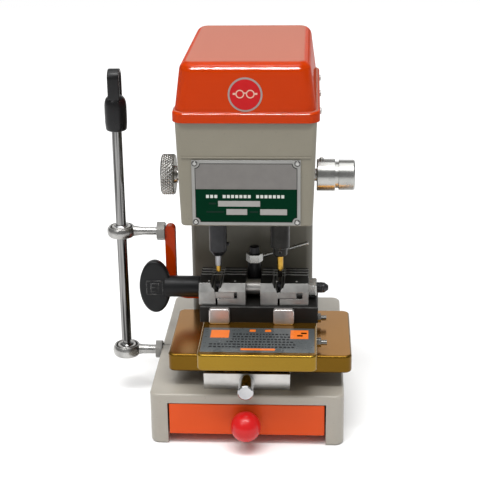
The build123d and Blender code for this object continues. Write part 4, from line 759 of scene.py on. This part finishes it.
# ---- vise jaws: scribed lines and little screws ------------------------------------------
JAWS = {
    "left_moving_jaw": ("left_jaw", 0.28), "left_fixed_jaw": ("table", 0.62),
    "right_fixed_jaw": ("table", 0.45), "right_moving_jaw": ("right_jaw", 0.58),
}
INK["scribed"] = plain("scribed", (0.62, 0.62, 0.60), 0.3, metallic=0.9)
notch_sides = {"left_moving_jaw": 1, "left_fixed_jaw": -1, "right_fixed_jaw": 1, "right_moving_jaw": -1}
for node, (body, share) in JAWS.items():
    jaw_low, jaw_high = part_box(node)
    inset = 6.6 * MM
    left = jaw_low.x + (inset if notch_sides[node] < 0 else 0.8 * MM)
    right = jaw_high.x - (inset if notch_sides[node] > 0 else 0.8 * MM)
    for number, along in enumerate((26.6, 33.6, 40.6)):
        middle = Vector(((left + right) / 2, jaw_low.y + along * MM, jaw_high.z - 0.35 * MM))
        line = prism(
            f"{node}_line_{number}", rounded(right - left, 0.9 * MM, 0.2 * MM, steps=2), 0.42 * MM,
            Matrix.Translation(middle),
        )
        settle(line, INK["scribed"], body, smooth=False)
    head = (jaw_low.x + share * (jaw_high.x - jaw_low.x), jaw_low.y + 9.5 * MM, jaw_high.z - 0.2 * MM)
    dome = [(1.1 * MM, 0.0), (1.1 * MM, 0.35 * MM), (0.8 * MM, 0.6 * MM), (0.25 * MM, 0.7 * MM)]
    settle(turned(f"{node}_screw", dome, Matrix.Translation(head), 20), INK["scribed"], body)

# ---- clamp handle marks --------------------------------------------------------------------
handle_low, handle_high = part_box("clamp_handle")
paddle_middle = Vector((handle_low.x + 15.5 * MM, handle_low.y, (handle_low.z + handle_high.z) / 2))
before_paddle = (paddle_middle.x, handle_low.y - 0.05, paddle_middle.z)
paddle_spot, _ = surface_at("clamp_handle", before_paddle, (0, 1, 0))
paddle_place = facing(paddle_spot, (0, -1, 0))
RELIEF = 0.7 * MM
frame_mark = ring_prism(
    "handle_frame_mark", rounded(17 * MM, 15 * MM, 1.6 * MM), rounded(15 * MM, 13 * MM, 1.0 * MM),
    RELIEF, paddle_place,
)
settle(frame_mark, MATERIALS["marked_plastic"], "clamp_handle", bevel=0.18 * MM)
# Bars inside the frame mark: place across and up, width and height, in millimetres.
HANDLE_BARS = (
    (0.0, 0.0, 5.0, 1.1), (0.0, 4.2, 5.0, 1.1), (0.0, -4.2, 5.0, 1.1),
    (-3.6, 0.0, 1.1, 9.6), (3.6, 0.0, 1.1, 9.6),
)
for number, (x, z, width, height) in enumerate(HANDLE_BARS):
    outline = rounded(width * MM, height * MM, 0.4 * MM, (x * MM, z * MM))
    bar = prism(f"handle_bar_mark_{number}", outline, RELIEF, paddle_place)
    settle(bar, MATERIALS["marked_plastic"], "clamp_handle", bevel=0.18 * MM)

# ---- rod ends of the joystick -------------------------------------------------------------
def rod_end(node, race, body, shank_from, shank_to, shank_r):
    """Ring round a ball race with a tapering neck and a round shank along +X."""
    race_low, race_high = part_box(race)
    middle = (race_low + race_high) / 2
    ring_low, ring_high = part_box(node)
    half = (ring_high.z - ring_low.z) / 2 - 0.6 * MM
    outer, inner = 14.2 * MM, 10.9 * MM
    profile = [
        (inner, -half + 0.6 * MM), (inner + 0.8 * MM, -half), (outer - 1.8 * MM, -half),
        (outer - 0.4 * MM, -half * 0.6),
        (outer, 0.0), (outer - 0.4 * MM, half * 0.6), (outer - 1.8 * MM, half), (inner + 0.8 * MM, half),
        (inner, half - 0.6 * MM), (inner, -half + 0.6 * MM),
    ]
    points, faces, steps = [], [], 72
    for radius, height in profile[:-1]:
        for step in range(steps):
            angle = 2 * math.pi * step / steps
            points.append(middle + Vector((radius * math.cos(angle), radius * math.sin(angle), height)))
    rows = len(profile) - 1
    for row in range(rows):
        low, high = row * steps, (row + 1) % rows * steps
        for step in range(steps):
            following = (step + 1) % steps
            faces.append((low + step, low + following, high + following, high + step))
    ring = settle(mesh_object(f"{node}_ring", points, faces), MATERIALS["rod_end_steel"], body)
    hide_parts(node)
    reach = shank_from - middle.x
    neck = [(5.6 * MM, 0.0), (5.0 * MM, 0.35 * (reach - outer + 3 * MM)), (shank_r, reach - outer + 3 * MM)]
    neck += [(shank_r, shank_to - middle.x - outer + 3 * MM)]
    place = facing((middle.x + outer - 3 * MM, middle.y, middle.z), (1, 0, 0))
    settle(turned(f"{node}_shank", neck, place, 40), MATERIALS["rod_end_steel"], body)


upper_nut_low, upper_nut_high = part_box("upper_nut")
lower_nut_low, lower_nut_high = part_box("lower_nut")
INTO_NUT = 2 * MM
upper_shank = (upper_nut_low.x - 14 * MM, upper_nut_high.x + INTO_NUT, 3.9 * MM)
lower_shank = (lower_nut_low.x - 8 * MM, lower_nut_high.x + INTO_NUT, 4.6 * MM)
rod_end("upper_rod_end", "upper_race", "table", *upper_shank)
rod_end("lower_rod_end", "lower_race", "frame", *lower_shank)

# ---- moulded grip with its hanging loop ----------------------------------------------------
grip_low, grip_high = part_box("lever_grip")
grip_axis = Vector(((grip_low.x + grip_high.x) / 2, (grip_low.y + grip_high.y) / 2, 0))
grip_bottom = grip_low.z + 6.5 * MM
grip_profile = [
    (5.2, 0.0), (8.6, 0.0), (9.6, 0.5), (10.2, 1.6), (10.7, 8.0), (10.8, 18.0), (10.7, 25.0), (10.2, 28.5),
    (9.2, 31.2), (7.6, 33.2), (5.2, 34.4), (2.0, 35.0),
]
grip_profile = [(radius * MM, height * MM) for radius, height in grip_profile]
grip = turned("grip_body", grip_profile, Matrix.Translation((grip_axis.x, grip_axis.y, grip_bottom)), 64)
settle(grip, MATERIALS["grip_rubber"], "lever")
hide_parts("lever_grip")
LOOP_TOP_Z, LOOP_FOOT_Z = grip_high.z - 0.3 * MM, grip_bottom + 31 * MM
LOOP_HALF, LOOP_BAND = 9.4 * MM, 3.2 * MM


def loop_outline(half, inset):
    """Side outline of the loop: straight legs under a round top."""
    top = LOOP_TOP_Z - inset - half
    outline = [(half, LOOP_FOOT_Z + 0.6 * inset)]
    for step in range(25):
        angle = math.pi * step / 24
        outline.append((half * math.cos(angle), top + half * math.sin(angle)))
    outline.append((-half, LOOP_FOOT_Z + 0.6 * inset))
    return outline


LOOP_WIDTH = 11.4 * MM
loop_place = facing((grip_axis.x - LOOP_WIDTH / 2, grip_axis.y, 0), (1, 0, 0))
loop = ring_prism(
    "grip_loop", loop_outline(LOOP_HALF, 0.0), loop_outline(LOOP_HALF - LOOP_BAND, LOOP_BAND),
    LOOP_WIDTH, loop_place,
)
settle(loop, MATERIALS["grip_rubber"], "lever", bevel=1.1 * MM, segments=3)

# ---- threads on the stud end ---------------------------------------------------------------
rod_low, rod_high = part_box("tie_rod")
_, nut_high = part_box("clamp_nut")
rod_axis = Vector((0, (rod_low.y + rod_high.y) / 2, (rod_low.z + rod_high.z) / 2))
rod_r = (rod_high.z - rod_low.z) / 2
THREAD_PITCH = 1.5 * MM
root_r, crest_r = rod_r - 0.1 * MM, rod_r + 0.45 * MM
turns = int((rod_high.x - 4.2 * MM - nut_high.x) / THREAD_PITCH)
thread = [(root_r, 0.0)]
for number in range(turns):
    for share, radius in ((0.35, crest_r), (0.6, crest_r), (0.95, root_r)):
        thread.append((radius, (number + share) * THREAD_PITCH))
stud = turned("stud_thread", thread, facing((nut_high.x, rod_axis.y, rod_axis.z), (1, 0, 0)), 48)
settle(stud, MATERIALS["dark_steel"], "right_jaw")
